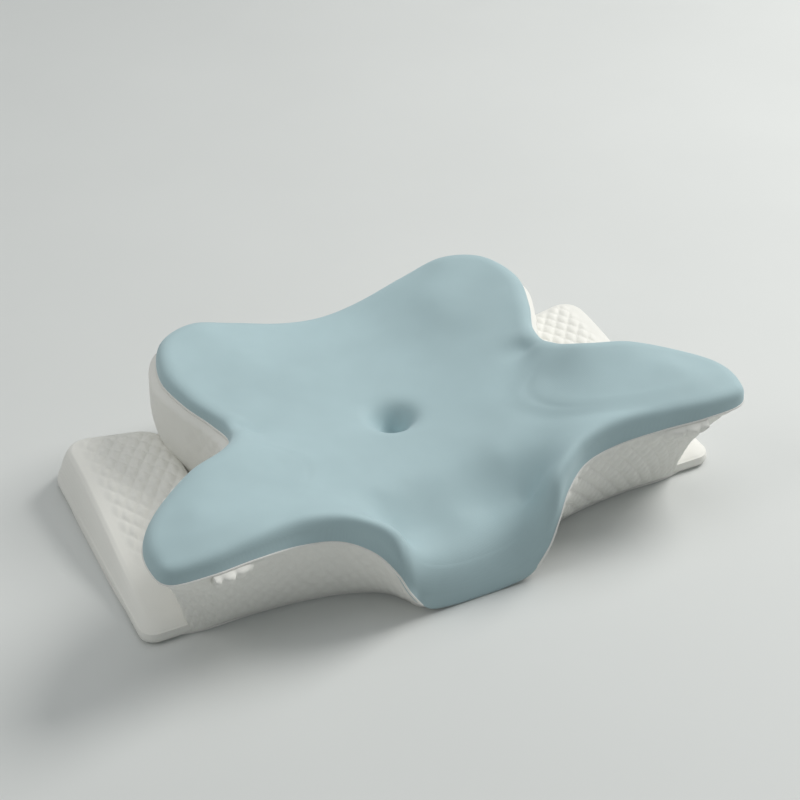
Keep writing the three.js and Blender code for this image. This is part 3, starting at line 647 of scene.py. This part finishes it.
def rear_wall():
    """The rear panel as a grid whose lines follow the zip opening; its edges there are turned in."""
    x_lines = np.concatenate([np.linspace(-CUT_REAR, -WINDOW_HALF_X, 36)[:-1],
                              np.linspace(-WINDOW_HALF_X, WINDOW_HALF_X, 120),
                              np.linspace(WINDOW_HALF_X, CUT_REAR, 36)[1:]])
    rows, _ = at_length(x_lines)
    above = np.linspace(0, 1, 44)[:, None]
    lo, hi = ZIP_Z - WINDOW_HALF_Z, ZIP_Z + WINDOW_HALF_Z
    z_top = rows[:, SZ] - SEAM_DROP
    z = np.vstack([z_top + (hi - z_top) * above, hi + (lo - hi) * np.linspace(0, 1, 5)[1:, None]
                   + 0 * z_top, lo + (FOOT_Z - lo) * np.linspace(0, 1, 9)[1:, None] + 0 * z_top])
    t = (rows[:, SZ] - z) / (rows[:, SZ] - FOOT_Z)
    grid = np.array([wall_points(x_lines, tr)[0] for tr in t])
    normal = grid_normals(grid, False)
    if (normal[10, :, 1]).mean() < 0:
        normal = -normal
    v = rows[:, SZ] - z
    # soft drag lines above the zip and slight fullness over the foam
    wave = 0.45 * np.sin(x_lines / 23.0)[None] * np.exp(-((z - 45) / 22) ** 2)
    near = np.exp(-(np.clip(np.abs(z - ZIP_Z) - WINDOW_HALF_Z, 0, None) / 5.0) ** 2)
    inside = smooth(WINDOW_HALF_X + 6 - np.abs(x_lines), 0, 6)[None]
    lift = wave + 1.5 * near * inside * np.clip(np.abs(z - ZIP_Z) - WINDOW_HALF_Z, 0, 3) / 3
    outer = grid + normal * lift[..., None]
    inner = grid - normal * WALL_T
    verts, faces = shell(outer, inner, False)
    cols = len(x_lines)
    n = outer.shape[0] * cols
    centre = np.asarray(verts)[faces].mean(1)
    inside_x = np.abs(centre[:, 0]) < WINDOW_HALF_X - 0.3
    inside_z = np.abs(centre[:, 2] - ZIP_Z) < WINDOW_HALF_Z - 0.1
    window = inside_x & inside_z & (centre[:, 1] > 165)
    faces = faces[~window].tolist()
    # close the cut edges between the outer and inner skins
    edges = {}
    for f in faces:
        for a, b in zip(f, f[1:] + f[:1]):
            edges[(a, b)] = edges.get((a, b), 0) + 1
    open_edges = [(a, b) for (a, b) in edges if (b, a) not in edges]
    for a, b in open_edges:
        if a < n and b < n:
            faces.append([b, a, a + n, b + n])
    uv = np.stack([np.broadcast_to(x_lines, v.shape), v], -1).reshape(-1, 2) * MM
    obj = make("rear_wall_cloth", verts, faces, WHITE, nodes=("rear_wall",),
               uv=np.vstack([uv, uv]))
    return obj


rear_cloth = rear_wall()

# ---- arm shelves ----------------------------------------------------------------------------------
# Rings from the middle of the top down to the sole: inner x, inset of outer side, inset of ends,
# corner radius, height (1 at the top, 0 at the step, -1 at the sole), share of the rear face's slant.
SHELF_RINGS = [
    (199, 20, 22, 20, 1.0, 1.0), (194.5, 15, 16, 23, 0.975, 0.96), (190.5, 11, 12, 27, 0.88, 0.9),
    (188.5, 8.5, 9, 29, 0.72, 0.75), (187, 6, 6, 30, 0.50, 0.6), (186, 4, 3.5, 31, 0.28, 0.35),
    (185, 2, 2, 31, 0.066, 0.1), (152, 1, 1, 30, 0.0, 0.0), (150, 0, 0, 30, -0.6, 0.0),
    (150, 1, 1, 30, -1.0, 0.0),
]
REAR_SLANT = 0.26   # how far the top draws the rear face in, per mm in from the outer side
SHELF_FRONT, SHELF_REAR, SHELF_OUT = -117.0, 164.0, 298.0
FRONT_CORNER = 0.5   # the front corners' radius, as a share of the rear ones'
SHELF_STEP = 12.0
SHELF_MIDDLE, SHELF_HALF = (225, 26), (73, 138)   # middle and half size in plan, for the fan and the core


def shelf_height(y):
    return 17 + 33 * smooth(y, SHELF_FRONT, 120)


def rounded(qx, qy, x0, x1, y0, y1, r, front=1.0):
    """Unit-square perimeter points carried to a rounded rectangle."""
    cx, cy, hx, hy = (x0 + x1) / 2, (y0 + y1) / 2, (x1 - x0) / 2, (y1 - y0) / 2
    r = r * np.where(qy < 0, front, 1)
    px, py = qx * hx, qy * hy
    ex, ey = np.abs(px) - (hx - r), np.abs(py) - (hy - r)
    corner = (ex > 0) & (ey > 0)
    big, length = np.maximum(ex, ey), np.hypot(ex, ey) + 1e-9
    k = np.where(corner, big / length, 1)
    px = np.where(corner, np.sign(px) * (hx - r + ex * k), px)
    py = np.where(corner, np.sign(py) * (hy - r + ey * k), py)
    return cx + px, cy + py


def shelf(side):
    nu, nv = 150, 240
    u, v = np.meshgrid(np.linspace(-1, 1, nu), np.linspace(-1, 1, nv), indexing="ij")
    rho = np.maximum(np.abs(u), np.abs(v))
    qx, qy = u / np.maximum(rho, 1e-9), v / np.maximum(rho, 1e-9)
    flat_part = 0.5
    w = np.clip((rho - flat_part) / (1 - flat_part), 0, 1) * (len(SHELF_RINGS) - 1)
    rings = np.array(SHELF_RINGS, float)
    ring = np.stack([np.interp(w, np.arange(len(rings)), rings[:, k]) for k in range(6)], -1)
    x, y = rounded(qx, qy, ring[..., 0], SHELF_OUT - ring[..., 1], SHELF_FRONT + ring[..., 2],
                   SHELF_REAR - ring[..., 2], ring[..., 3], FRONT_CORNER)
    top = rho <= flat_part
    k = rho / flat_part
    cx, cy = (rings[0, 0] + SHELF_OUT - rings[0, 1]) / 2, (SHELF_FRONT + SHELF_REAR) / 2
    x = np.where(top, cx + (x - cx) * k, x)
    y = np.where(top, cy + (y - cy) * k, y)
    y = y - ring[..., 5] * REAR_SLANT * (SHELF_OUT - x) * smooth(y, 30, 146)
    h = shelf_height(y)
    z = SHELF_STEP + ring[..., 4] * np.where(ring[..., 4] > 0, h - SHELF_STEP, SHELF_STEP - FOOT_Z)
    z = z + np.where(top, 1.2 * (1 - k ** 2), 0)
    grid = np.stack([x, y, z], -1)
    normal = grid_normals(grid, False)
    if normal[nu // 2, nv // 2, 2] < 0:
        normal = -normal
    area = smooth(y, -50, 0) * smooth(-rho, -0.56, -0.47) * (1 - smooth(x, 264, 277))
    grid = grid + normal * (QUILT_SHELF * quilt(x - 240, y - 20, 15.0, 20.0) * area)[..., None]
    grid[..., 0] *= side
    n = nu * nv
    faces = grid_faces(nu, nv, False)
    rim = np.concatenate([np.arange(nv), np.arange(1, nu) * nv + nv - 1,
                          (nu - 1) * nv + np.arange(nv - 2, -1, -1), np.arange(nu - 2, 0, -1) * nv])
    verts = grid.reshape(-1, 3)
    centre = [side * SHELF_MIDDLE[0], SHELF_MIDDLE[1], FOOT_Z]
    verts = np.vstack([verts, centre])
    fan = [[int(rim[i]), n, int(rim[(i + 1) % len(rim)])] for i in range(len(rim))]
    a, b, c = (np.array(verts[i]) for i in faces[len(faces) // 2][:3])
    up = np.cross(b - a, c - a)[2] > 0
    quads = faces.tolist() if up else faces[:, ::-1].tolist()
    name = "right" if side > 0 else "left"
    uv = verts[:, :2] * MM
    obj = make(f"shelf_pad_{name}", verts, quads + fan, WHITE, nodes=(f"shelf_cover_{name}",),
               uv=uv)
    fix_normals(obj)
    return obj


def fix_normals(obj):
    bm = bmesh.new()
    bm.from_mesh(obj.data)
    bmesh.ops.recalc_face_normals(bm, faces=bm.faces)
    bm.to_mesh(obj.data)
    bm.free()


shelves = [shelf(1), shelf(-1)]

# ---- piping ---------------------------------------------------------------------------------------
PIPING_R = 1.15


def piping():
    s = np.arange(1100) * LENGTH / 1100
    rows, out = at_length(s)
    centre = np.column_stack([rows[:, :2] - out * 0.2, rows[:, SZ] - 0.7])
    lumps = 1 + 0.04 * np.sin(s * 2.1) * np.sin(s * 0.53)
    small = smooth(rows[:, SZ], 2, 20)
    radius = PIPING_R * (0.5 + 0.5 * small) * lumps
    centre[:, 2] = np.maximum(centre[:, 2], FOOT_Z + 0.9)
    verts, faces = tube(centre, radius, 10, True)
    return make("seam_piping", verts, faces, CORD, nodes=("top_seam_piping",))


piping()

# ---- zip, pull, label and stitches ----------------------------------------------------------------
ZIP_PITCH, TOOTH_L, TOOTH_T, TOOTH_W, SPINE_W = 2.5, 1.3, 3.0, 1.9, 0.9
ZIP_GAP = 0.8          # from the zip's centre line to each row of teeth
SLIDER_X = 9 - ZIP_HALF
SLIDER_L, SLIDER_W, PLATE_T, PLATE_FACE = 12.0, 9.4, 1.2, 1.9
BAIL_L, BAIL_RISE, BAIL_R = 8.0, 4.2, 0.5
PULL_L, PULL_W, PULL_T, PULL_EYE, PULL_HOLE, PULL_HOLE_IN = 26.0, 7.0, 1.2, 7.0, 2.2, 5.0


def bevelled_box(size, centre, bevel):
    """Vertices and faces of a box with rounded edges."""
    bm = bmesh.new()
    bmesh.ops.create_cube(bm, size=1)
    for v in bm.verts:
        v.co = Vector([v.co[k] * size[k] for k in range(3)])
    bmesh.ops.bevel(bm, geom=bm.edges[:], offset=bevel, segments=2, affect="EDGES", profile=0.5)
    verts = np.array([v.co for v in bm.verts]) + centre
    faces = [[v.index for v in f.verts] for f in bm.faces]
    bm.free()
    return verts, faces


def merged(parts):
    """One vertex array and face list from several."""
    verts, faces, base = [], [], 0
    for v, f in parts:
        verts.append(v)
        faces += [[i + base for i in face] for face in f]
        base += len(v)
    return np.vstack(verts), faces


def ring_slab(outer, hole, y0, y1, bevel=0.25):
    """A plate in the x-z plane with one hole; both loops are (n, 2) and run the same way."""
    mid_out, mid_hole = outer.mean(0), hole.mean(0)
    small = mid_out + (outer - mid_out) * (1 - bevel / np.abs(outer - mid_out).max())
    wide = mid_hole + (hole - mid_hole) * (1 + bevel / np.abs(hole - mid_hole).max())
    loops = [(small, y1), (outer, y1 - bevel), (outer, y0 + bevel), (small, y0),
             (wide, y0), (hole, y0 + bevel), (hole, y1 - bevel), (wide, y1)]
    n = len(outer)
    verts = np.vstack([np.column_stack([p[:, 0], np.full(n, y), p[:, 1]]) for p, y in loops])
    faces = []
    for a in range(len(loops)):
        b = (a + 1) % len(loops)
        for c in range(n):
            d = (c + 1) % n
            faces.append([a * n + c, a * n + d, b * n + d, b * n + c])
    return verts, faces


def rounded_loop(x0, x1, z0, z1, r, count=48):
    a = np.linspace(0, 2 * np.pi, count, endpoint=False) + np.pi / count
    m = np.maximum(np.abs(np.cos(a)), np.abs(np.sin(a)))
    x, z = rounded(np.cos(a) / m, np.sin(a) / m, x0, x1, z0, z1, r)
    return np.column_stack([x, z])


def metal_piece(name, parts, body, node, look=None):
    verts, faces = merged(parts)
    obj = make(name, verts, faces, look or METAL, body=body, nodes=(node,),
               smooth_faces=False)
    fix_normals(obj)
    return obj


def zip_row(side, name):
    root = ZIP_GAP + TOOTH_W
    parts = [bevelled_box((2 * ZIP_HALF, TOOTH_T - 0.8, SPINE_W + 0.2),
                          (0, ZIP_Y, ZIP_Z + side * (root + SPINE_W / 2 - 0.1)), 0.3)]
    shift = 0 if side > 0 else ZIP_PITCH / 2
    for k in range(int(2 * ZIP_HALF / ZIP_PITCH) - 1):
        x = -ZIP_HALF + ZIP_PITCH * (k + 0.5) + shift
        parts.append(bevelled_box((TOOTH_L * 0.7, TOOTH_T * 0.86, TOOTH_W),
                                  (x, ZIP_Y, ZIP_Z + side * (root - TOOTH_W / 2)), 0.2))
        parts.append(bevelled_box((TOOTH_L, TOOTH_T, 0.9),
                                  (x, ZIP_Y, ZIP_Z + side * (ZIP_GAP + 0.45)), 0.3))
    metal_piece(f"zip_row_{name}", parts, "pillow", f"zip_teeth_{name}", RESIN)


def zip_tape(side, name):
    x = np.linspace(-ZIP_HALF - 4, ZIP_HALF + 4, 180)
    near = ZIP_GAP + TOOTH_W + SPINE_W + 0.3
    z = ZIP_Z + side * np.linspace(near, near + 10, 12)
    wave = 0.12 * np.sin(x / 7.0)
    grid = np.array([np.column_stack([x, ZIP_Y + 0.35 + wave, np.full(len(x), zz)]) for zz in z])
    verts, faces = shell(grid, grid - [0, 0.7, 0], False)
    uv = verts[:, [0, 2]] * MM
    obj = make(f"zip_ribbon_{name}", verts, faces, TAPE, nodes=(f"zip_tape_{name}",), uv=uv)
    fix_normals(obj)


def zip_stops():
    stop_x = ZIP_HALF + 2
    for side, name in ((1, "upper"), (-1, "lower")):
        part = bevelled_box((2.6, TOOTH_T, 2.4), (-stop_x, ZIP_Y, ZIP_Z + side * 2.0), 0.5)
        metal_piece(f"zip_stop_{name}", [part], "pillow", f"zip_top_stop_{name}")
    part = bevelled_box((2.6, TOOTH_T, 6), (stop_x, ZIP_Y, ZIP_Z), 0.6)
    metal_piece("zip_stop_end", [part], "pillow", "zip_bottom_stop")


def slider():
    plate_y = PLATE_FACE + PLATE_T / 2
    top = PLATE_FACE + PLATE_T
    parts = [bevelled_box((SLIDER_L, PLATE_T, SLIDER_W), (0, sign * plate_y, 0), 0.45) for sign in (1, -1)]
    parts.append(bevelled_box((7, 2 * PLATE_FACE + 0.4, 1), (0, 0, 0), 0.3))
    parts += [bevelled_box((SLIDER_L - 0.6, 1.1, 0.8), (0, PLATE_FACE - 0.35, e * (SLIDER_W / 2 - 0.45)), 0.2)
              for e in (1, -1)]
    reach = BAIL_L / 2 - BAIL_R
    a = np.linspace(0, np.pi, 17)
    arch_y = np.sin(a) ** 0.55 * (BAIL_RISE + BAIL_R)
    path = np.column_stack([-np.cos(a) * reach, top - 0.3 + arch_y, 0 * a])
    verts, faces = tube(path, BAIL_R, 10, False)
    verts[:, 2] *= 2.0
    parts.append((verts, faces))
    parts = [(v + [SLIDER_X, ZIP_Y, ZIP_Z], f) for v, f in parts]
    metal_piece("zip_runner", parts, "slider", "zip_slider")


def pull():
    y = ZIP_Y + PLATE_FACE + PLATE_T + BAIL_RISE / 2
    eye_w = 2 + 2 * (1.4 + 0.5)
    eye = ring_slab(rounded_loop(-0.55, PULL_EYE, -eye_w / 2, eye_w / 2, 1.0),
                    rounded_loop(0.55, PULL_EYE - 0.9, -1.5, 1.5, 0.6), -PULL_T / 2, PULL_T / 2)
    x0, x1 = PULL_EYE - 0.9, PULL_L - 1.1
    hole_x = PULL_L - PULL_HOLE_IN
    plate = ring_slab(rounded_loop(x0, x1, -PULL_W / 2, PULL_W / 2, 2.6),
                      rounded_loop(hole_x - PULL_HOLE, hole_x + PULL_HOLE, -PULL_HOLE, PULL_HOLE,
                                   PULL_HOLE - 0.05), -PULL_T / 2, PULL_T / 2)
    parts = [(v + [SLIDER_X, y, ZIP_Z], f) for v, f in (eye, plate)]
    metal_piece("zip_tab", parts, "pull", "zip_pull")


def on_rear(x, z):
    """The rear wall's outer surface behind a point, in mm."""
    hit, place, _, _ = rear_cloth.ray_cast(Vector((x, 260, z)) * MM, Vector((0, -1, 0)))
    return place.y / MM if hit else 178.0


LABEL_X, LABEL_W, LABEL_H, LABEL_TOP = 131.0, 22.0, 30.0, 35.0


def label():
    """Blank satin label, sewn along its top and curling off the wall lower down."""
    u, w = np.linspace(-1, 1, 24), np.linspace(0, 1, 32)
    grid = np.empty((len(w), len(u), 3))
    for r, t in enumerate(w):
        for c, q in enumerate(u):
            x, z = LABEL_X + q * LABEL_W / 2, LABEL_TOP - t * LABEL_H
            lift = 0.5 + 1.6 * t ** 2 + 0.25 * math.sin(3.1 * q + 2 * t) * t
            grid[r, c] = (x, on_rear(x, max(z, 8)) + lift, z)
    verts, faces = shell(grid, grid - [0, 0.35, 0], False)
    obj = make("satin_label", verts, faces, SATIN, nodes=("care_label",),
               uv=verts[:, [0, 2]] * MM)
    fix_normals(obj)


def stitch_row(points, radius=0.28, fill=0.66):
    """Short thread bars between points, each dipping into the cloth at its ends."""
    parts = []
    for a, b in zip(points[:-1], points[1:]):
        t = np.linspace((1 - fill) / 2, (1 + fill) / 2, 6)[:, None]
        path = a + (b - a) * t
        path[:, 1] += 0.25 * np.sin(np.pi * np.linspace(0, 1, 6)) - 0.1
        parts.append(tube(path, radius, 6, False))
    return parts


def stitches():
    parts = []
    for z in (ZIP_Z + WINDOW_HALF_Z + 4.2, ZIP_Z - WINDOW_HALF_Z - 4.2):
        xs = np.arange(-WINDOW_HALF_X - 4, WINDOW_HALF_X + 4, 3.0)
        parts += stitch_row(np.array([(x, on_rear(x, z), z) for x in xs]))
    for x in (-WINDOW_HALF_X - 4, WINDOW_HALF_X + 4):
        zs = np.arange(ZIP_Z - 8.8, ZIP_Z + 9, 2.9)
        parts += stitch_row(np.array([(x, on_rear(x, z), z) for z in zs]))
    xs = np.arange(LABEL_X - 9.5, LABEL_X + 9.6, 2.7)
    parts += stitch_row(np.array([(x, on_rear(x, LABEL_TOP - 1.6) + 0.7, LABEL_TOP - 1.6) for x in xs]))
    verts, faces = merged(parts)
    obj = make("rear_stitches", verts, faces, THREAD)
    fix_normals(obj)


for _side, _name in ((1, "upper"), (-1, "lower")):
    zip_row(_side, _name)
    zip_tape(_side, _name)
zip_stops()
slider()
pull()
label()
stitches()

# ---- underside ------------------------------------------------------------------------------------
BASE = mirrored(BASE_OUTLINE, (0,))
BASE_T = 2.4


def base_loop(count, inset):
    t = np.arange(count) * len(BASE) / count
    p = closed_spline(BASE, t)
    tangent = closed_spline(BASE, t + 0.01) - closed_spline(BASE, t - 0.01)
    tangent /= np.linalg.norm(tangent, axis=1)[:, None]
    return p - np.stack([-tangent[:, 1], tangent[:, 0]], 1) * inset


def underside():
    n, rings = 420, 10
    edge = base_loop(n, 2.6)
    verts, faces = [], []
    levels = [(1, 0.7), (1, 1.9), (0.995, BASE_T)] + [(1 - k / rings, BASE_T) for k in range(1, rings)]
    for f, z in levels:
        verts += [(*(p * f), z) for p in edge]
    top = len(levels)
    for f, z in [(0.995, 0.0)] + [(1 - k / rings, 0.0) for k in range(1, rings)]:
        verts += [(*(p * f), z) for p in edge]
    count = top + rings
    for r in range(top - 1):
        for c in range(n):
            faces.append([r * n + c, r * n + (c + 1) % n, (r + 1) * n + (c + 1) % n, (r + 1) * n + c])
    for r in range(top, count - 1):
        for c in range(n):
            faces.append([r * n + c, (r + 1) * n + c, (r + 1) * n + (c + 1) % n, r * n + (c + 1) % n])
    for c in range(n):
        faces.append([c, top * n + c, top * n + (c + 1) % n, (c + 1) % n])
    k = len(verts)
    verts += [(0, 0, BASE_T), (0, 0, 0)]
    for c in range(n):
        faces.append([(top - 1) * n + c, (top - 1) * n + (c + 1) % n, k])
        faces.append([(count - 1) * n + (c + 1) % n, (count - 1) * n + c, k + 1])
    obj = make("underside_cloth", verts, faces, MESH, nodes=("base_panel",),
               uv=np.array(verts)[:, :2] * MM)
    fix_normals(obj)
    return obj


underside_cloth = underside()


def binding():
    p = base_loop(900, 1.4)
    verts, faces = tube(np.column_stack([p, np.full(len(p), 1.3)]), 1.15, 8, True)
    make("underside_binding", verts, faces, CORD, nodes=("base_seam_binding",))


binding()

# ---- foam core and liner --------------------------------------------------------------------------
BODY_COLUMNS, BODY_WALL_ROWS = 300, 26
CORE_IN, LINER_IN = 6.2, 4.2   # how far inside the cover the foam and the liner are
VOXEL, LINER_T = 0.0045, 0.0009   # metres


def apply_modifiers(obj):
    graph = bpy.context.evaluated_depsgraph_get()
    mesh = bpy.data.meshes.new_from_object(obj.evaluated_get(graph))
    obj.modifiers.clear()
    obj.data = mesh
    mesh.shade_smooth()


def body_form(name, depth, floor_z, material_, node):
    """A closed form a given depth inside the cover, with both arm shelves, as one skin."""
    s = np.arange(BODY_COLUMNS) * LENGTH / BODY_COLUMNS
    rows, out = at_length(s)
    crown_rows = []
    for d in (8.4, 5, 2.5, 1.2, 0):
        xy = rows[:, :2] - out * d
        crown_rows.append(np.column_stack([xy, top_height(xy, np.full(len(s), float(d)), s)]))
    ring = crown_rows[0][:, :2]
    inner = []
    for f in np.concatenate([np.linspace(0.03, 0.2, 9), np.linspace(0.23, 0.985, 44)]):
        xy = HOLLOW + (ring - HOLLOW) * f
        d, near = nearest_seam(xy)
        inner.append(np.column_stack([xy, top_height(xy, d, near)]))
    wall = [wall_points(s, np.full(len(s), t))[0] for t in np.linspace(0, 1, BODY_WALL_ROWS)[1:]]
    grid = np.array(inner + crown_rows + wall)
    normal = grid_normals(grid, True)
    if normal[20, :, 2].mean() < 0:
        normal = -normal
    grid = grid - normal * depth
    grid[..., 2] = np.maximum(grid[..., 2], floor_z)
    grid[-1, :, 2] = floor_z
    verts = grid.reshape(-1, 3)
    faces = grid_faces(len(grid), BODY_COLUMNS, True).tolist()
    n, last = len(verts), (len(grid) - 1) * BODY_COLUMNS
    verts = np.vstack([verts, [*HOLLOW, grid[0, :, 2].mean()], [*HOLLOW, floor_z]])
    for c in range(BODY_COLUMNS):
        c2 = (c + 1) % BODY_COLUMNS
        faces += [[c, n, c2], [last + c, last + c2, n + 1]]
    verts, parts = [verts], [faces]
    for shelf_obj in shelves:
        v = np.array([p.co for p in shelf_obj.data.vertices]) / MM
        side = np.sign(v[:, 0].mean())
        centre = np.array([side * SHELF_MIDDLE[0], SHELF_MIDDLE[1], 0])
        span = np.array([*((half - depth) / half for half in SHELF_HALF), 1])
        v = centre + (v - centre) * span - [0, 0, depth]
        v[:, 2] = np.maximum(v[:, 2], floor_z)
        base = sum(len(x) for x in verts)
        parts.append([[i + base for i in p.vertices] for p in shelf_obj.data.polygons])
        verts.append(v)
    obj = make(name, np.vstack(verts), [f for p in parts for f in p], material_, nodes=(node,))
    fix_normals(obj)
    weld = obj.modifiers.new("skin", "REMESH")
    weld.mode, weld.voxel_size, weld.use_smooth_shade = "VOXEL", VOXEL, True
    apply_modifiers(obj)
    return obj


core = body_form("foam_block", CORE_IN, 4.4, FOAM, "foam_core")
liner = body_form("liner_bag", LINER_IN, 3.4, LINER, "inner_liner")
thick = liner.modifiers.new("thickness", "SOLIDIFY")
thick.thickness, thick.offset = LINER_T, -1
apply_modifiers(liner)

# ---- stage ----------------------------------------------------------------------------------------
FLOOR_HALF = 30.0   # metres


def floor():
    mesh = bpy.data.meshes.new("floor")
    e = FLOOR_HALF
    mesh.from_pydata([(-e, -e, 0), (e, -e, 0), (e, e, 0), (-e, e, 0)], [], [(0, 1, 2, 3)])
    obj = bpy.data.objects.new("floor", mesh)
    bpy.context.scene.collection.objects.link(obj)
    obj.data.materials.append(FLOOR)


floor()


AIM = (0, 0, 0.05)   # every light points at the middle of the pillow


def area_light(name, location, size, power, color):
    data = bpy.data.lights.new(name, "AREA")
    data.shape, data.size, data.energy, data.color = "DISK", size, power, color
    obj = bpy.data.objects.new(name, data)
    bpy.context.scene.collection.objects.link(obj)
    obj.location = location
    obj.rotation_mode = "QUATERNION"
    obj.rotation_quaternion = (Vector(AIM) - Vector(location)).to_track_quat("-Z", "Y")


area_light("key", (2.2, 0.25, 2.05), 1.5, 63, (1.0, 0.985, 0.96))
area_light("fill", (-2.2, 0.2, 2.2), 1.6, 13, (1.0, 0.98, 0.94))
area_light("top", (0.1, 0.4, 2.6), 2.4, 11, (0.97, 0.99, 1.0))
world = bpy.data.worlds.new("studio")
world.use_nodes = True
world.node_tree.nodes["Background"].inputs[0].default_value = (0.93, 0.97, 0.98, 1)
world.node_tree.nodes["Background"].inputs[1].default_value = 0.30
bpy.context.scene.world = world
bpy.context.scene.view_settings.view_transform = "Standard"
